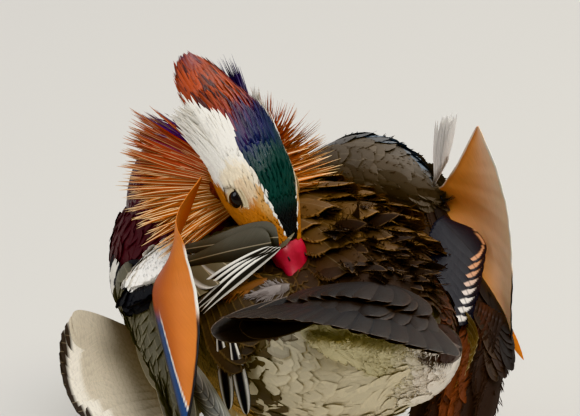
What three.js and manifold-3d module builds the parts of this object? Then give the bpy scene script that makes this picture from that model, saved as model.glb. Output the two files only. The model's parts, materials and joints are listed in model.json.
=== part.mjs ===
// A mandarin drake that stands and preens its rump, life size, in millimetres.
// +X is the way the breast faces, +Y is the bird's left, +Z is up, and the soles stand on Z = 0.
// The head is turned right round over the left of the back, the tail is spread and swung to the left.

import * as THREE from 'three';
import { mergeVertices } from 'three/addons/utils/BufferGeometryUtils.js';
import Module from 'manifold-3d';

const wasm = await Module();
wasm.setup();

// The clearance that touching sub-parts keep, and the thickness of a plain feather's vane.
const GAP = 0.3;
const VANE = 0.8;

const vec = (x, y, z) => new THREE.Vector3(x, y, z);
const mix = THREE.MathUtils.lerp;
const rad = THREE.MathUtils.degToRad;
const steps = count => Array.from({ length: count }, (unused, i) => i / (count - 1));
const bell = t => Math.sin(Math.PI * t);

// A heading from a turn about +Z and a rise above the horizontal, in degrees.
function heading(turn, rise) {
  const flat = Math.cos(rad(rise));
  return vec(flat * Math.cos(rad(turn)), flat * Math.sin(rad(turn)), Math.sin(rad(rise)));
}

// A local frame: at(along, side, up) gives a point of it, and way(...) a direction.
function frameAt(origin, along, up) {
  const x = along.clone().normalize();
  const z = up.clone().addScaledVector(x, -up.dot(x)).normalize();
  const y = z.clone().cross(x);
  const way = (a, b, c) => vec(0, 0, 0).addScaledVector(x, a).addScaledVector(y, b).addScaledVector(z, c);
  return { x, y, z, way, at: (a, b, c) => way(a, b, c).add(origin) };
}

// Closed mesh from rings of points, ended by a middle point. In a vane's rings the second half of the
// points is the under face, and its quads are split so that both faces have the same creases.
function skin(rings, alike = false) {
  const count = rings[0].length;
  const middle = ring => ring.reduce((sum, p) => sum.add(p), vec(0, 0, 0)).divideScalar(count);
  const points = [...rings.flat(), middle(rings[0]), middle(rings[rings.length - 1])];
  const first = points.length - 2;
  const last = points.length - 1;
  const index = [];
  for (let i = 0; i + 1 < rings.length; i++) {
    for (let j = 0; j < count; j++) {
      const k = (j + 1) % count;
      const [a, b, c, d] = [i * count + j, i * count + k, (i + 1) * count + k, (i + 1) * count + j];
      if (alike && j >= count / 2) index.push(a, b, d, b, c, d);
      else index.push(a, b, c, a, c, d);
    }
  }
  const end = (rings.length - 1) * count;
  for (let j = 0; j < count; j++) {
    const k = (j + 1) % count;
    index.push(first, k, j, last, end + j, end + k);
  }
  const geometry = new THREE.BufferGeometry().setFromPoints(points);
  geometry.setIndex(index);
  return geometry;
}

// A closed mesh as a solid whose faces point out.
function solid(geometry) {
  const bare = geometry.clone();
  bare.deleteAttribute('normal');
  bare.deleteAttribute('uv');
  const merged = mergeVertices(bare, 1e-4);
  const vertProperties = new Float32Array(merged.attributes.position.array);
  const triVerts = new Uint32Array(merged.index.array);
  const made = new wasm.Manifold(new wasm.Mesh({ numProp: 3, vertProperties, triVerts }));
  if (made.volume() > 0) return made;
  for (let i = 0; i < triVerts.length; i += 3) {
    [triVerts[i], triVerts[i + 1]] = [triVerts[i + 1], triVerts[i]];
  }
  return new wasm.Manifold(new wasm.Mesh({ numProp: 3, vertProperties, triVerts }));
}

const fuse = pieces => pieces.reduce((whole, piece) => whole.add(piece));
const clear = (piece, others) => others.reduce((rest, other) => rest.subtract(other), piece);

// Only the largest closed surface of a node is kept.
function largest(piece) {
  return piece.decompose().reduce((best, p) => (p.volume() > best.volume() ? p : best));
}

// Smooth stations: rows of numbers, read at any share t of the way along by one curve for each column.
function stations(rows) {
  const columns = rows[0].map((unused, c) => new THREE.SplineCurve(rows.map((row, i) => new THREE.Vector2(i, row[c]))));
  return t => columns.map(curve => curve.getPoint(t).y);
}

// A body of oval rings. shape(t) gives [along, side, up, half width, height above, height below].
function ovals(frame, shape, rings, around, grow) {
  const outward = grow * Math.sign(shape(1)[0] - shape(0)[0]);
  return skin(steps(rings).map((t) => {
    const [along, side, up, width, above, below] = shape(t);
    const ahead = t === 0 ? -outward : t === 1 ? outward : 0;
    return steps(around + 1).slice(0, -1).map((a) => {
      const turn = a * 2 * Math.PI;
      const height = Math.cos(turn) > 0 ? above : below;
      return frame.at(along + ahead, side + (width + grow) * Math.sin(turn), up + (height + grow) * Math.cos(turn));
    });
  }));
}

// A round tube along a curve, with a radius for each share of the way.
function tube(points, radius, rings, around, grow) {
  const curve = new THREE.CatmullRomCurve3(points);
  return skin(steps(rings).map((t) => {
    const local = frameAt(curve.getPoint(t), curve.getTangent(t), vec(0.1, 0.2, 1));
    const ahead = t === 0 ? -grow : t === 1 ? grow : 0;
    const r = radius(t) + grow;
    return steps(around + 1).slice(0, -1).map((a) => {
      const turn = a * 2 * Math.PI;
      return local.at(ahead, r * Math.cos(turn), r * Math.sin(turn));
    });
  }));
}

// One feather: a cambered vane from its root along a way, its upper face towards normal.
// bend lifts the tip by a share of the length, sweep carries it sideways, cup drops both edges.
function vane(f, grow = 0) {
  const { root, along, normal, length, width, bend = 0, sweep = 0, cup = 0.1, blunt = 0.5, cuts = 4 } = f;
  const base = frameAt(root, along, normal);
  const half = (f.thick ?? VANE) / 2 + grow;
  const path = t => base.at(length * t, sweep * length * t * t, bend * length * t * t);
  return solid(skin(steps(cuts).map((t) => {
    const here = path(t);
    const tangent = path(t + 0.01).sub(path(t - 0.01));
    const local = frameAt(here, tangent, base.z);
    const share = t === 1 ? blunt : mix(0.5, 1, Math.min(1, t * 2.2));
    const w = width / 2 * share + grow;
    const drop = cup * width * share;
    const ahead = t === 0 ? -grow : t === 1 ? grow : 0;
    return [
      local.at(ahead, w, half - drop), local.at(ahead, 0, half), local.at(ahead, -w, half - drop),
      local.at(ahead, -w, -half - drop), local.at(ahead, 0, -half), local.at(ahead, w, -half - drop),
    ];
  }), true));
}

// The same feather given by its root and its tip. arch lifts its middle off the straight line.
function between(root, tip, normal, size) {
  const way = tip.clone().sub(root);
  const arch = size.arch ?? 0;
  const start = way.clone().normalize().addScaledVector(normal.clone().normalize(), arch).normalize();
  const rise = start.dot(frameAt(root, way, normal).z);
  return { ...size, root, along: start, normal, length: way.length(), bend: -rise };
}

// A flat tapered lock of loose plumes, which bends away from its root.
function lock(f, grow = 0) {
  const { root, along, normal, length, width, bend = 0, sweep = 0, cuts = 4 } = f;
  const base = frameAt(root, along, normal);
  const path = t => base.at(length * t, sweep * length * t * t, bend * length * t * t);
  return solid(skin(steps(cuts).map((t) => {
    const tangent = path(t + 0.01).sub(path(t - 0.01));
    const local = frameAt(path(t), tangent, base.z);
    const w = width / 2 * mix(1, 0.22, t * t) + grow;
    const half = mix(1.3, 0.4, t) + grow;
    const ahead = t === 0 ? -grow : t === 1 ? grow : 0;
    return [local.at(ahead, w, half), local.at(ahead, -w, half), local.at(ahead, -w, -half), local.at(ahead, w, -half)];
  }), true));
}

// Torso: rows from the breast to the vent, [along, side, up, half width, height above, height below].
const torsoRows = [
  [103, 13, 120, 6, 7, 9],
  [92, 12, 119, 32, 28, 33],
  [66, 10, 115, 52, 42, 50],
  [30, 5, 110, 63, 53, 58],
  [-10, 1, 108, 66, 57, 60],
  [-50, 3, 110, 65, 50, 55],
  [-84, 8, 115, 58, 37, 46],
  [-108, 12, 119, 44, 28, 36],
  [-126, 16, 122, 17, 14, 16],
];
const torsoShape = stations(torsoRows);
const bird = frameAt(vec(0, 0, 0), vec(1, 0, 0), vec(0, 0, 1));
const torsoCore = grow => solid(ovals(bird, torsoShape, 13, 16, grow));

// A root on the torso at a share of the way back and a turn from the top, positive to the left.
// way carries the feather back along the body, lift raises it off the surface.
function onTorso(t, turn, { lift = 10, turnAside = 0, sink = 3 }) {
  const point = (s, a) => {
    const [along, side, up, width, above, below] = torsoShape(s);
    const height = Math.cos(a) > 0 ? above : below;
    return vec(along, side + width * Math.sin(a), up + height * Math.cos(a));
  };
  const a = rad(turn);
  const here = point(t, a);
  const back = point(Math.min(t + 0.02, 1), a).sub(point(t - 0.02, a)).normalize();
  const round = point(t, a + 0.03).sub(point(t, a - 0.03)).normalize();
  const out = round.clone().cross(back).normalize();
  const away = here.clone().sub(vec(here.x, torsoShape(t)[1], torsoShape(t)[2]));
  if (out.dot(away) < 0) out.negate();
  const along = back.applyAxisAngle(out, rad(turnAside));
  const side = out.clone().cross(along);
  along.applyAxisAngle(side, -rad(lift));
  const normal = out.clone().applyAxisAngle(side, -rad(lift));
  return { root: here.addScaledVector(out, -sink), along, normal };
}

// Head: its frame stands where the bill leaves the feathers, +x along the bill and +y to its left.
const BILL_BASE = vec(-48, 29, 160);
const HEAD_TURN = 185;
const HEAD_RISE = -39;
const billWay = heading(HEAD_TURN, HEAD_RISE);
const head = frameAt(BILL_BASE, billWay, heading(HEAD_TURN, HEAD_RISE + 90));
const headRows = [
  [6, 0, 0.5, 7.2, 6.5, 6.5],
  [-2, 0, 1.5, 10.5, 9.5, 10],
  [-14, 0, 3, 15.5, 14.5, 15],
  [-27, 0, 5, 19, 18, 18.5],
  [-39, 0, 5.5, 19.5, 19, 18.5],
  [-49, 0, 5, 17, 16, 15],
  [-57, 0, 4, 8, 8, 8],
];
const headShape = stations(headRows);
const headCore = grow => solid(ovals(head, headShape, 10, 14, grow));

// Eyes, with lids that stand a little proud round each.
const EYE_ALONG = -26.5;
const EYE_OUT = 13.8;
const EYE_UP = 7;
const EYE_RADIUS = 5.8;
function eye(side, grow) {
  const ball = new THREE.SphereGeometry(EYE_RADIUS + grow, 14, 8);
  ball.translate(...head.at(EYE_ALONG, side * EYE_OUT, EYE_UP).toArray());
  return solid(ball);
}
function lid(side, grow) {
  const ring = new THREE.TorusGeometry(5.6, 1.3 + grow, 5, 12);
  ring.scale(1.12, 0.86, 1);
  const out = head.way(0.12, side, 0.1).normalize();
  ring.applyMatrix4(new THREE.Matrix4().makeBasis(
    head.way(1, 0, -0.15).normalize(), out.clone().cross(head.way(1, 0, -0.15)).normalize(), out));
  ring.translate(...head.at(EYE_ALONG, side * (EYE_OUT + 3.6), EYE_UP).toArray());
  return solid(ring);
}

// Bill: two mandibles that meet along the line of the mouth. Rows are [along, half width, top, bottom].
const BILL_LENGTH = 30;
const upperRows = [
  [-2, 8.6, 7.5, -1.5], [6, 8.8, 7, -1.6], [14, 7.2, 3.6, -2], [21, 7, 1.6, -2.3], [27, 6.4, 0.6, -2.8], [BILL_LENGTH, 3.6, -0.8, -3.2],
];
const lowerRows = [[-2, 6.4, -2.2, -7], [7, 6.8, -2.4, -6.4], [15, 6, -2.9, -5.2], [22, 5.8, -3.1, -4.6], [27, 4.2, -3.6, -4.6]];
function mandible(rows, grow) {
  const shape = stations(rows);
  return solid(ovals(head, (t) => {
    const [along, width, top, bottom] = shape(t);
    return [along, 0, (top + bottom) / 2, width, (top - bottom) / 2, (top - bottom) / 2];
  }, 8, 12, grow));
}
function nostril(side) {
  const pit = new THREE.SphereGeometry(1.3, 8, 6).scale(1.7, 1, 1);
  pit.applyMatrix4(new THREE.Matrix4().makeBasis(head.x, head.y, head.z));
  pit.translate(...head.at(11, side * 4.8, 4.2).toArray());
  return solid(pit);
}
const upperBill = grow => mandible(upperRows, grow);
const lowerBill = grow => clear(mandible(lowerRows, grow), grow ? [] : [mandible(upperRows, GAP)]);

// Neck: from inside the shoulders up and back to the nape.
const neckPath = [vec(70, 12, 122), vec(56, 20, 150), vec(33, 29, 169), vec(8, 32, 180), head.at(-44, 0, 2)];
const neckTube = grow => solid(tube(neckPath, t => mix(36, 18, Math.sqrt(t)), 8, 14, grow));

// Crest: locks from the crown and the nape in two tiers. The longest end together in one rounded tip.
function crest(grow) {
  return [0, 1].flatMap(row => steps(row ? 4 : 5).map((s) => {
    const side = mix(-1, 1, s);
    return lock({
      root: head.at(-40 - 6 * row, side * 9 - 1, 17 - 6 * row - 3 * side * side),
      along: head.way(-1, side * 0.08 - 0.09, 0.02 - 0.2 * row),
      normal: head.way(0.1, side * 0.5, 1),
      length: mix(71, 50, Math.abs(side + 0.2)) - 8 * row,
      width: 12,
      bend: 0.02 - 0.06 * row,
      cuts: 3,
    }, grow);
  }));
}
// The white stripe over each eye ends in loose locks beside the crest.
function streaks(grow) {
  return [1, -1].flatMap(side => steps(2).map(s => lock({
    root: head.at(-44, side * 13, 11 - 4 * s),
    along: head.way(-1, side * 0.5, 0.05 - 0.2 * s),
    normal: head.way(0, side * 0.7, 1),
    length: 36,
    width: 9,
    cuts: 3,
  }, grow)));
}

// Ruff: long hackles that fan from each cheek, each side with the line that its tips keep.
const ruffs = [
  { side: -1, long: 9, tips: [vec(40, 62, 213), vec(38, 68, 200), vec(31, 76, 186), vec(21, 79, 171), vec(8, 77, 157), vec(-6, 72, 147)] },
  { side: 1, long: 7, tips: [vec(26, 4, 212), vec(14, -12, 205), vec(1, -25, 192), vec(-12, -24, 180), vec(-16, -14, 170)] },
];
function ruff(which, grow) {
  const { side, long, tips } = which;
  const line = new THREE.CatmullRomCurve3(tips);
  const normal = head.way(0.4, side, 0);
  return steps(long).flatMap((s, i) => {
    const root = head.at(mix(-38, -27, s), side * 13.5, mix(7, -12, s));
    const inner = head.at(mix(-31, -24, s), side * 14.5, mix(2, -13, s));
    const tip = line.getPoint(s);
    const tip2 = inner.clone().lerp(line.getPoint(mix(s, 0.5, 0.1)), 0.72).addScaledVector(normal, 4);
    const locks = [lock(between(root, tip, normal, { width: 9, arch: 0.1, cuts: 3 }), grow)];
    if (i % 3 === 1) locks.push(lock(between(inner, tip2, normal, { width: 8, arch: 0.16, cuts: 3 }), grow));
    return locks;
  });
}
const headWhole = grow => fuse([
  headCore(grow), lid(1, grow), lid(-1, grow),
  fuse(crest(grow)), fuse(streaks(grow)), ...ruffs.map(which => fuse(ruff(which, grow))),
]);

// Wings: each hangs loose from the shoulder, its frame at the wrist, +x to the rear and +z to the back.
// out is the frame's side that faces off the body.
const wings = {
  left: {
    frame: frameAt(vec(36, 69, 118), vec(-0.84, 0.3, -0.42), vec(-0.1, -0.33, 0.93)),
    out: -1,
    flight: heading(169, -9),
    rows: [[-10, 0, 3, 3, 5, 5], [4, 0, 6, 8, 15, 10], [34, 1, 12, 9, 22, 12], [66, 1, 18, 8, 17, 10], [92, 0, 20, 4, 10, 7], [106, 0, 20, 2, 5, 5]],
    flightSweep: 0,
    tertialTurn: 0,
    base: 8,
  },
  right: {
    frame: frameAt(vec(40, -62, 126), vec(-0.9, 0.02, -0.42), vec(-0.2, -0.3, 0.92)),
    out: 1,
    flight: heading(186, -19),
    rows: [[-10, 0, 3, 3, 5, 5], [4, 0, 5, 10, 40, 10], [30, -1, 9, 12, 44, 14], [62, -4, 9, 9, 28, 14], [94, -6, 5, 4, 16, 12], [110, -6, 2, 2, 6, 6]],
    flightSweep: -0.18,
    tertialTurn: 0.09,
    base: 0,
  },
};
// The arm under its coverts. Rows are [along, side, up, half thickness, height above, height below].
const arm = (wing, grow) => solid(ovals(wing.frame, stations(wing.rows), 8, 10, grow));

// The wing's feathers in tiers: flight feathers deepest, then tertials, then two rows of coverts.
function wingTiers(wing, grow) {
  const { frame, out, flight, flightSweep, tertialTurn, base } = wing;
  const outward = frame.way(0, out, 0);
  const set = (along, depth, up, way, length, width, bend, more) => vane({
    root: frame.at(along, out * depth, up + base), along: way, normal: outward, length, width, bend, cup: 0.08, cuts: 3, ...more,
  }, grow);
  const back = rise => frame.way(Math.cos(rad(rise)), out * tertialTurn, Math.sin(rad(rise)));
  const row = (count, make) => fuse(steps(count).map(make));
  return [
    row(5, s => set(mix(46, 24, s), mix(-2, 2, s), mix(8, -5, s), flight.clone().addScaledVector(back(90), 0.12 * s), mix(126, 90, s), 19, flightSweep)),
    row(5, s => set(mix(44, 62, s), mix(0.3, 4.1, s), mix(-2, 20, s), back(mix(5, -2, s)), mix(78, 62, s), 19, -0.04)),
    row(5, s => set(mix(22, 38, s), mix(5, 8.6, s), mix(-3, 27, s), back(mix(3, -6, s)), mix(54, 48, s), 19, -0.08)),
    row(3, s => set(mix(6, 16, s), mix(6.4, 9.1, s), mix(2, 22, s), back(mix(3, -8, s)), 36, 22, -0.1)),
  ];
}
// The right wing's lesser coverts and long scapulars, raised over the shoulder and swept out to the right.
function hump(grow) {
  return [fuse(steps(4).map(s => vane(between(
    vec(mix(38, 14, s), mix(-48, -46, s), mix(157, 152, s)),
    vec(mix(-14, -36, s), mix(-81, -70, s), mix(163, 151, s)),
    vec(-0.1, -0.1, 1),
    { width: 28, arch: 0.5, cup: 0.1, cuts: 3 },
  ), grow)))];
}
const wingWhole = (wing, grow) => fuse([arm(wing, grow), ...wingTiers(wing, grow), ...(wing === wings.right ? hump(grow) : [])]);

// Sails: the broad inner web of one tertial on each wing, a strip between its front edge and its free edge.
// belly is how far its middle bows outwards, as a share of its breadth.
const sails = {
  left: {
    belly: -0.12,
    front: [vec(-11, 53, 187), vec(-10, 60, 169), vec(-12, 71, 151), vec(-14, 83, 134), vec(-52, 98, 114), vec(-91, 111, 94)],
    free: [vec(-12, 54, 188), vec(-17, 71, 173), vec(-32, 75, 161), vec(-54, 81, 140), vec(-75, 95, 118), vec(-92, 111, 95)],
  },
  right: {
    belly: 0.12,
    front: [vec(-54, -79, 201), vec(-42, -76, 178), vec(-30, -76, 163), vec(-21, -77, 151), vec(-60, -72, 129), vec(-104, -65, 106)],
    free: [vec(-56, -79, 202), vec(-70, -81, 183), vec(-84, -79, 162), vec(-95, -74, 140), vec(-102, -69, 122), vec(-107, -66, 105)],
  },
};
function sail(which, grow) {
  const front = new THREE.CatmullRomCurve3(sails[which].front);
  const free = new THREE.CatmullRomCurve3(sails[which].free);
  const half = 0.5 + grow;
  return solid(skin(steps(12).map((t) => {
    const [a, b] = [front.getPoint(t), free.getPoint(t)];
    const across = b.clone().sub(a);
    const tangent = front.getTangent(t).add(free.getTangent(t));
    const out = across.clone().cross(tangent).normalize();
    const bulge = out.clone().multiplyScalar(across.length() * sails[which].belly);
    const edge = across.clone().normalize().multiplyScalar(grow + 0.2);
    const middle = a.clone().lerp(b, 0.5).add(bulge);
    const lift = (p, sign) => p.clone().addScaledVector(out, sign * half);
    a.sub(edge);
    b.add(edge);
    return [lift(a, 1), lift(middle, 1), lift(b, 1), lift(b, -1), lift(middle, -1), lift(a, -1)];
  }), true));
}

// Tail: rectrices fanned from the rump's end and swung to the left, domed in the middle.
const TAIL_ROOT = vec(-98, 4, 149);
const TAIL_FROM = 95;
const TAIL_TO = 166;
const tailTurn = s => mix(TAIL_FROM, TAIL_TO, s);
const tailNormal = s => heading(tailTurn(s), 82).addScaledVector(heading(tailTurn(s) + 90, 0), 0.5 * (s - 0.5));
function tailFeathers(grow) {
  const quills = steps(11).map(s => vane({
    root: TAIL_ROOT.clone().add(heading(tailTurn(s), 0).multiplyScalar(8)),
    along: heading(tailTurn(s), mix(9, 3, s) + 9 * bell(s) - (s === 0 ? 13 : 0)),
    normal: tailNormal(s),
    length: mix(88, 94, bell(s)),
    cuts: 3,
    width: 24,
    bend: -0.05,
    blunt: 0.45,
  }, grow));
  const coverts = steps(4).map(s => vane({
    root: TAIL_ROOT.clone().add(vec(0, 0, 5)),
    along: heading(mix(TAIL_FROM + 8, TAIL_TO - 4, s), 14 + 12 * bell(s)),
    normal: tailNormal(s),
    length: 46,
    width: 22,
    bend: -0.14,
    cuts: 3,
  }, grow));
  return [...quills, ...coverts];
}
function tailCore(grow) {
  const along = heading(tailTurn(0.5), 4);
  const frame = frameAt(TAIL_ROOT.clone().addScaledVector(along, -8), along, vec(0, 0, 1));
  const shape = stations([[-12, 0, -4, 12, 6, 10], [2, 0, -2, 19, 11, 18], [18, 0, -1, 18, 9, 15], [34, 0, 0, 9, 3, 6]]);
  return solid(ovals(frame, shape, 6, 12, grow));
}
const tailWhole = grow => fuse([tailCore(grow), fuse(tailFeathers(grow))]);

// Feather tracts of the torso that change its outline.
function torsoTiers() {
  const set = (t, turn, lie, size) => vane({ ...onTorso(t, turn, lie), cuts: 3, ...size });
  const place = (root, tip, normal, size) => vane(between(root, tip, normal, size));
  const row = (count, make) => fuse(steps(count).map(make));
  const mantle = [[0.34, 3, 42], [0.46, 3, 42], [0.58, 4, 38], [0.69, 3, 34]].map(([t, count, length]) => row(count, s => set(
    t, mix(-56, 4, s), { lift: 40, sink: 4 }, { length, width: 30, bend: -0.2, cup: 0.14 })));
  // Striped scapulars beside each wing, the right ones square ended and barred
  const right = row(4, s => place(
    vec(mix(-46, -62, s), mix(-52, -28, s), mix(146, 148, s)), vec(mix(-94, -106, s), mix(-64, -34, s), mix(132, 124, s)),
    vec(-0.4, -0.25, 1), { width: 17, arch: 0.2, blunt: 0.8 }));
  const left = row(3, s => place(
    vec(mix(8, -8, s), mix(58, 44, s), mix(143, 158, s)), vec(mix(-42, -50, s), mix(76, 36, s), mix(134, 166, s)),
    vec(-0.2, 0.5, 1), { width: 19, arch: 0.2, blunt: 0.7 }));
  // Flank plumes, flared out past the left wing's lower edge and closed on the right
  const fan = row(5, s => place(
    vec(mix(32, -18, s), mix(52, 58, s), mix(84, 70, s)),
    new THREE.CatmullRomCurve3([vec(34, 101, 104), vec(27, 112, 97), vec(14, 118, 83), vec(-1, 116, 71), vec(-24, 102, 60)]).getPoint(s),
    vec(-0.6, 0.1, 0.8), { width: 31, arch: -0.2, blunt: 0.75 }));
  const closed = row(3, s => set(mix(0.42, 0.64, s), mix(-106, -116, s), { lift: 8 }, { length: 50, width: 30, bend: -0.04 }));
  // The hindmost left flank feathers, black and white striped
  const stripes = row(2, s => place(
    vec(mix(-78, -88, s), mix(66, 60, s), mix(134, 132, s)), vec(mix(-101, -110, s), mix(78, 72, s), mix(103, 107, s)),
    vec(-0.7, 0.7, 0.2), { width: 11, arch: 0.1 }));
  // Under the tail, broad white coverts in tiers
  const under = row(4, s => set(0.87, mix(110, 250, s), { lift: 5 }, { length: 32, width: 34, bend: 0.04, cup: 0.12 }));
  return [...mantle, right, left, fan, closed, stripes, under];
}

// Legs: the thigh's feathered cone, the scaled shank, and a webbed foot with its claws.
const LEG_X = -22;
const legs = { left: { y: 37, toe: 10 }, right: { y: -25, toe: -10 } };
const ANKLE_Z = 6;
const HOCK = vec(-10, 0, 42);
function thigh(leg, grow) {
  const path = [vec(LEG_X + HOCK.x - 1, leg.y, 46), vec(LEG_X - 6, leg.y, 60), vec(LEG_X + 2, leg.y, 78)];
  return solid(tube(path, t => mix(6, 21, t), 4, 10, grow));
}
function shank(leg, grow) {
  const path = [vec(LEG_X, leg.y, ANKLE_Z - 2), vec(LEG_X - 5, leg.y, 22), vec(LEG_X + HOCK.x, leg.y, HOCK.z), vec(LEG_X + HOCK.x + 1, leg.y, 52)];
  return solid(tube(path, t => 2.8 + 1.4 * bell(Math.max(0, t - 0.35) / 0.65), 6, 8, grow));
}
const toes = [
  { turn: 26, length: 36 },
  { turn: -2, length: 42 },
  { turn: -30, length: 37 },
  { turn: 172, length: 11 },
];
const footFrame = (leg, toe) => frameAt(vec(LEG_X, leg.y, 0), heading(leg.toe + toe.turn * Math.sign(leg.y) * -1, 0), vec(0, 0, 1));
// A toe's rows: [along, half width, height]. Its sole is flat on the ground.
function toe(leg, which, grow) {
  const frame = footFrame(leg, which);
  const rows = stations([[-3, 3, 7], [0.3 * which.length, 2.3, 4.4], [0.6 * which.length, 2.2, 3.8], [which.length, 1.7, 2.8]]);
  return solid(skin(steps(4).map((t) => {
    const [along, width, height] = rows(t);
    const ahead = t === 0 ? -grow : t === 1 ? grow : 0;
    const w = width + grow;
    const h = height + grow;
    return [
      frame.at(along + ahead, w, -grow), frame.at(along + ahead, w, h * 0.6), frame.at(along + ahead, w * 0.45, h),
      frame.at(along + ahead, -w * 0.45, h), frame.at(along + ahead, -w, h * 0.6), frame.at(along + ahead, -w, -grow),
    ];
  })));
}
function web(leg) {
  const tips = toes.slice(0, 3).map(t => footFrame(leg, t));
  const shape = new THREE.Shape();
  const at = (frame, along) => frame.at(along, 0, 0);
  const start = at(tips[0], 1);
  shape.moveTo(start.x, start.y);
  tips.forEach((frame, i) => {
    const p = at(frame, toes[i].length - 1);
    shape.lineTo(p.x, p.y);
    if (i < 2) {
      const q = at(frame, toes[i].length * 0.84).lerp(at(tips[i + 1], toes[i + 1].length * 0.84), 0.5);
      shape.lineTo(q.x, q.y);
    }
  });
  return solid(new THREE.ExtrudeGeometry(shape, { depth: 1.8, bevelEnabled: false }));
}
const foot = (leg, grow) => fuse([...toes.map(t => toe(leg, t, grow)), ...(grow ? [] : [web(leg)])]);
function claw(leg, which) {
  const frame = footFrame(leg, which);
  const from = which.length + GAP;
  return solid(skin([0, 0.5, 1].map(t => [
    frame.at(from + 5 * t, 1.1 * (1 - 0.75 * t), 0.5 * (1 - t)), frame.at(from + 5 * t, 0, mix(2.4, 0.6, t * t)),
    frame.at(from + 5 * t, -1.1 * (1 - 0.75 * t), 0.5 * (1 - t)),
  ])));
}

const duck = new THREE.Group();
function node(name, piece, color, roughness = 0.75) {
  const { numProp, vertProperties, triVerts } = largest(piece).getMesh();
  const geometry = new THREE.BufferGeometry();
  const position = new Float32Array(vertProperties.length / numProp * 3);
  for (let i = 0; i < position.length / 3; i++) {
    for (let k = 0; k < 3; k++) position[i * 3 + k] = vertProperties[i * numProp + k];
  }
  geometry.setAttribute('position', new THREE.BufferAttribute(position, 3));
  geometry.setIndex(new THREE.BufferAttribute(new Uint32Array(triVerts), 1));
  geometry.computeVertexNormals();
  const mesh = new THREE.Mesh(geometry, new THREE.MeshStandardMaterial({ color, roughness, metalness: 0 }));
  mesh.name = name;
  duck.add(mesh);
  return mesh;
}

const torsoWide = torsoCore(GAP);
const billWide = [upperBill(GAP), lowerBill(GAP)];
const eyesWide = [eye(1, GAP), eye(-1, GAP)];
const neck = clear(neckTube(0), [torsoWide]);
const neckWide = neckTube(GAP);
const headPiece = clear(headWhole(0), [...eyesWide, ...billWide, neckWide, torsoWide]);
const headWide = headWhole(GAP);
const sailsWide = [sail('left', GAP), sail('right', GAP)];
const leftWing = clear(wingWhole(wings.left, 0), [torsoWide, headWide, neckWide, sailsWide[0]]);
const rightWing = clear(wingWhole(wings.right, 0), [torsoWide, headWide, neckWide, sailsWide[1]]);
const wingsWide = [wingWhole(wings.left, GAP), wingWhole(wings.right, GAP)];
const tail = clear(tailWhole(0), [torsoWide, ...billWide, ...wingsWide]);
const tailWide = tailWhole(GAP);
const thighs = [legs.left, legs.right].map(leg => clear(thigh(leg, 0), [torsoWide]));
const thighsWide = [legs.left, legs.right].map(leg => thigh(leg, GAP));
const plumes = clear(fuse(torsoTiers()), [headWide, neckWide, ...eyesWide, ...billWide, ...wingsWide, ...sailsWide, tailWide, ...thighsWide]);

node('torso', clear(torsoCore(0), billWide).add(plumes), 0x8a6a4a);
node('neck', neck, 0x7a3b22);
node('head', headPiece, 0xc07a3a);
node('bill_upper', clear(upperBill(0), [nostril(1), nostril(-1)]), 0xb3122c, 0.4);
node('bill_lower', lowerBill(0), 0xa01028, 0.4);
node('eye_left', eye(1, 0), 0x120a06, 0.1);
node('eye_right', eye(-1, 0), 0x120a06, 0.1);
node('wing_left', leftWing, 0x6c675a);
node('wing_right', rightWing, 0x6c675a);
node('sail_left', clear(sail('left', 0), [torsoWide, headWide]), 0xd9782f);
node('sail_right', clear(sail('right', 0), [torsoWide]), 0xd9782f);
node('tail', tail, 0x2c2320);
for (const [i, side] of ['left', 'right'].entries()) {
  const leg = legs[side];
  node(`thigh_${side}`, thighs[i], 0xd8d0c0);
  node(`shank_${side}`, clear(shank(leg, 0), [thighsWide[i], foot(leg, GAP)]), 0xc87a2c, 0.5);
  node(`foot_${side}`, foot(leg, 0), 0xc87a2c, 0.5);
  for (const [k, which] of toes.entries()) node(`claw_${side}_${k + 1}`, claw(leg, which), 0x2a221c, 0.4);
}

// The origin is on the ground under the middle of the whole bird.
const box = new THREE.Box3().setFromObject(duck);
duck.position.set(-(box.min.x + box.max.x) / 2, -(box.min.y + box.max.y) / 2, -box.min.z);

export default duck;
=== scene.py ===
"""Looks of a life-size drake mandarin duck that stands and preens its back.

The solids carry the outline. Here one skin lies inside them, and every feather over it is a thin closed
vane, lock or hackle that follows the lie of the coat. Sizes are in millimetres in the bird's own frame
(+X breast, +Y the bird's left, +Z up, soles at 0), and Plan.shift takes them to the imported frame.
"""
from __future__ import annotations

import json
import logging
import math
from dataclasses import dataclass
from enum import Enum
from functools import partial
from typing import Callable, Sequence

import bpy
import numpy as np
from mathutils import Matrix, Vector
from mathutils.kdtree import KDTree

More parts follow.
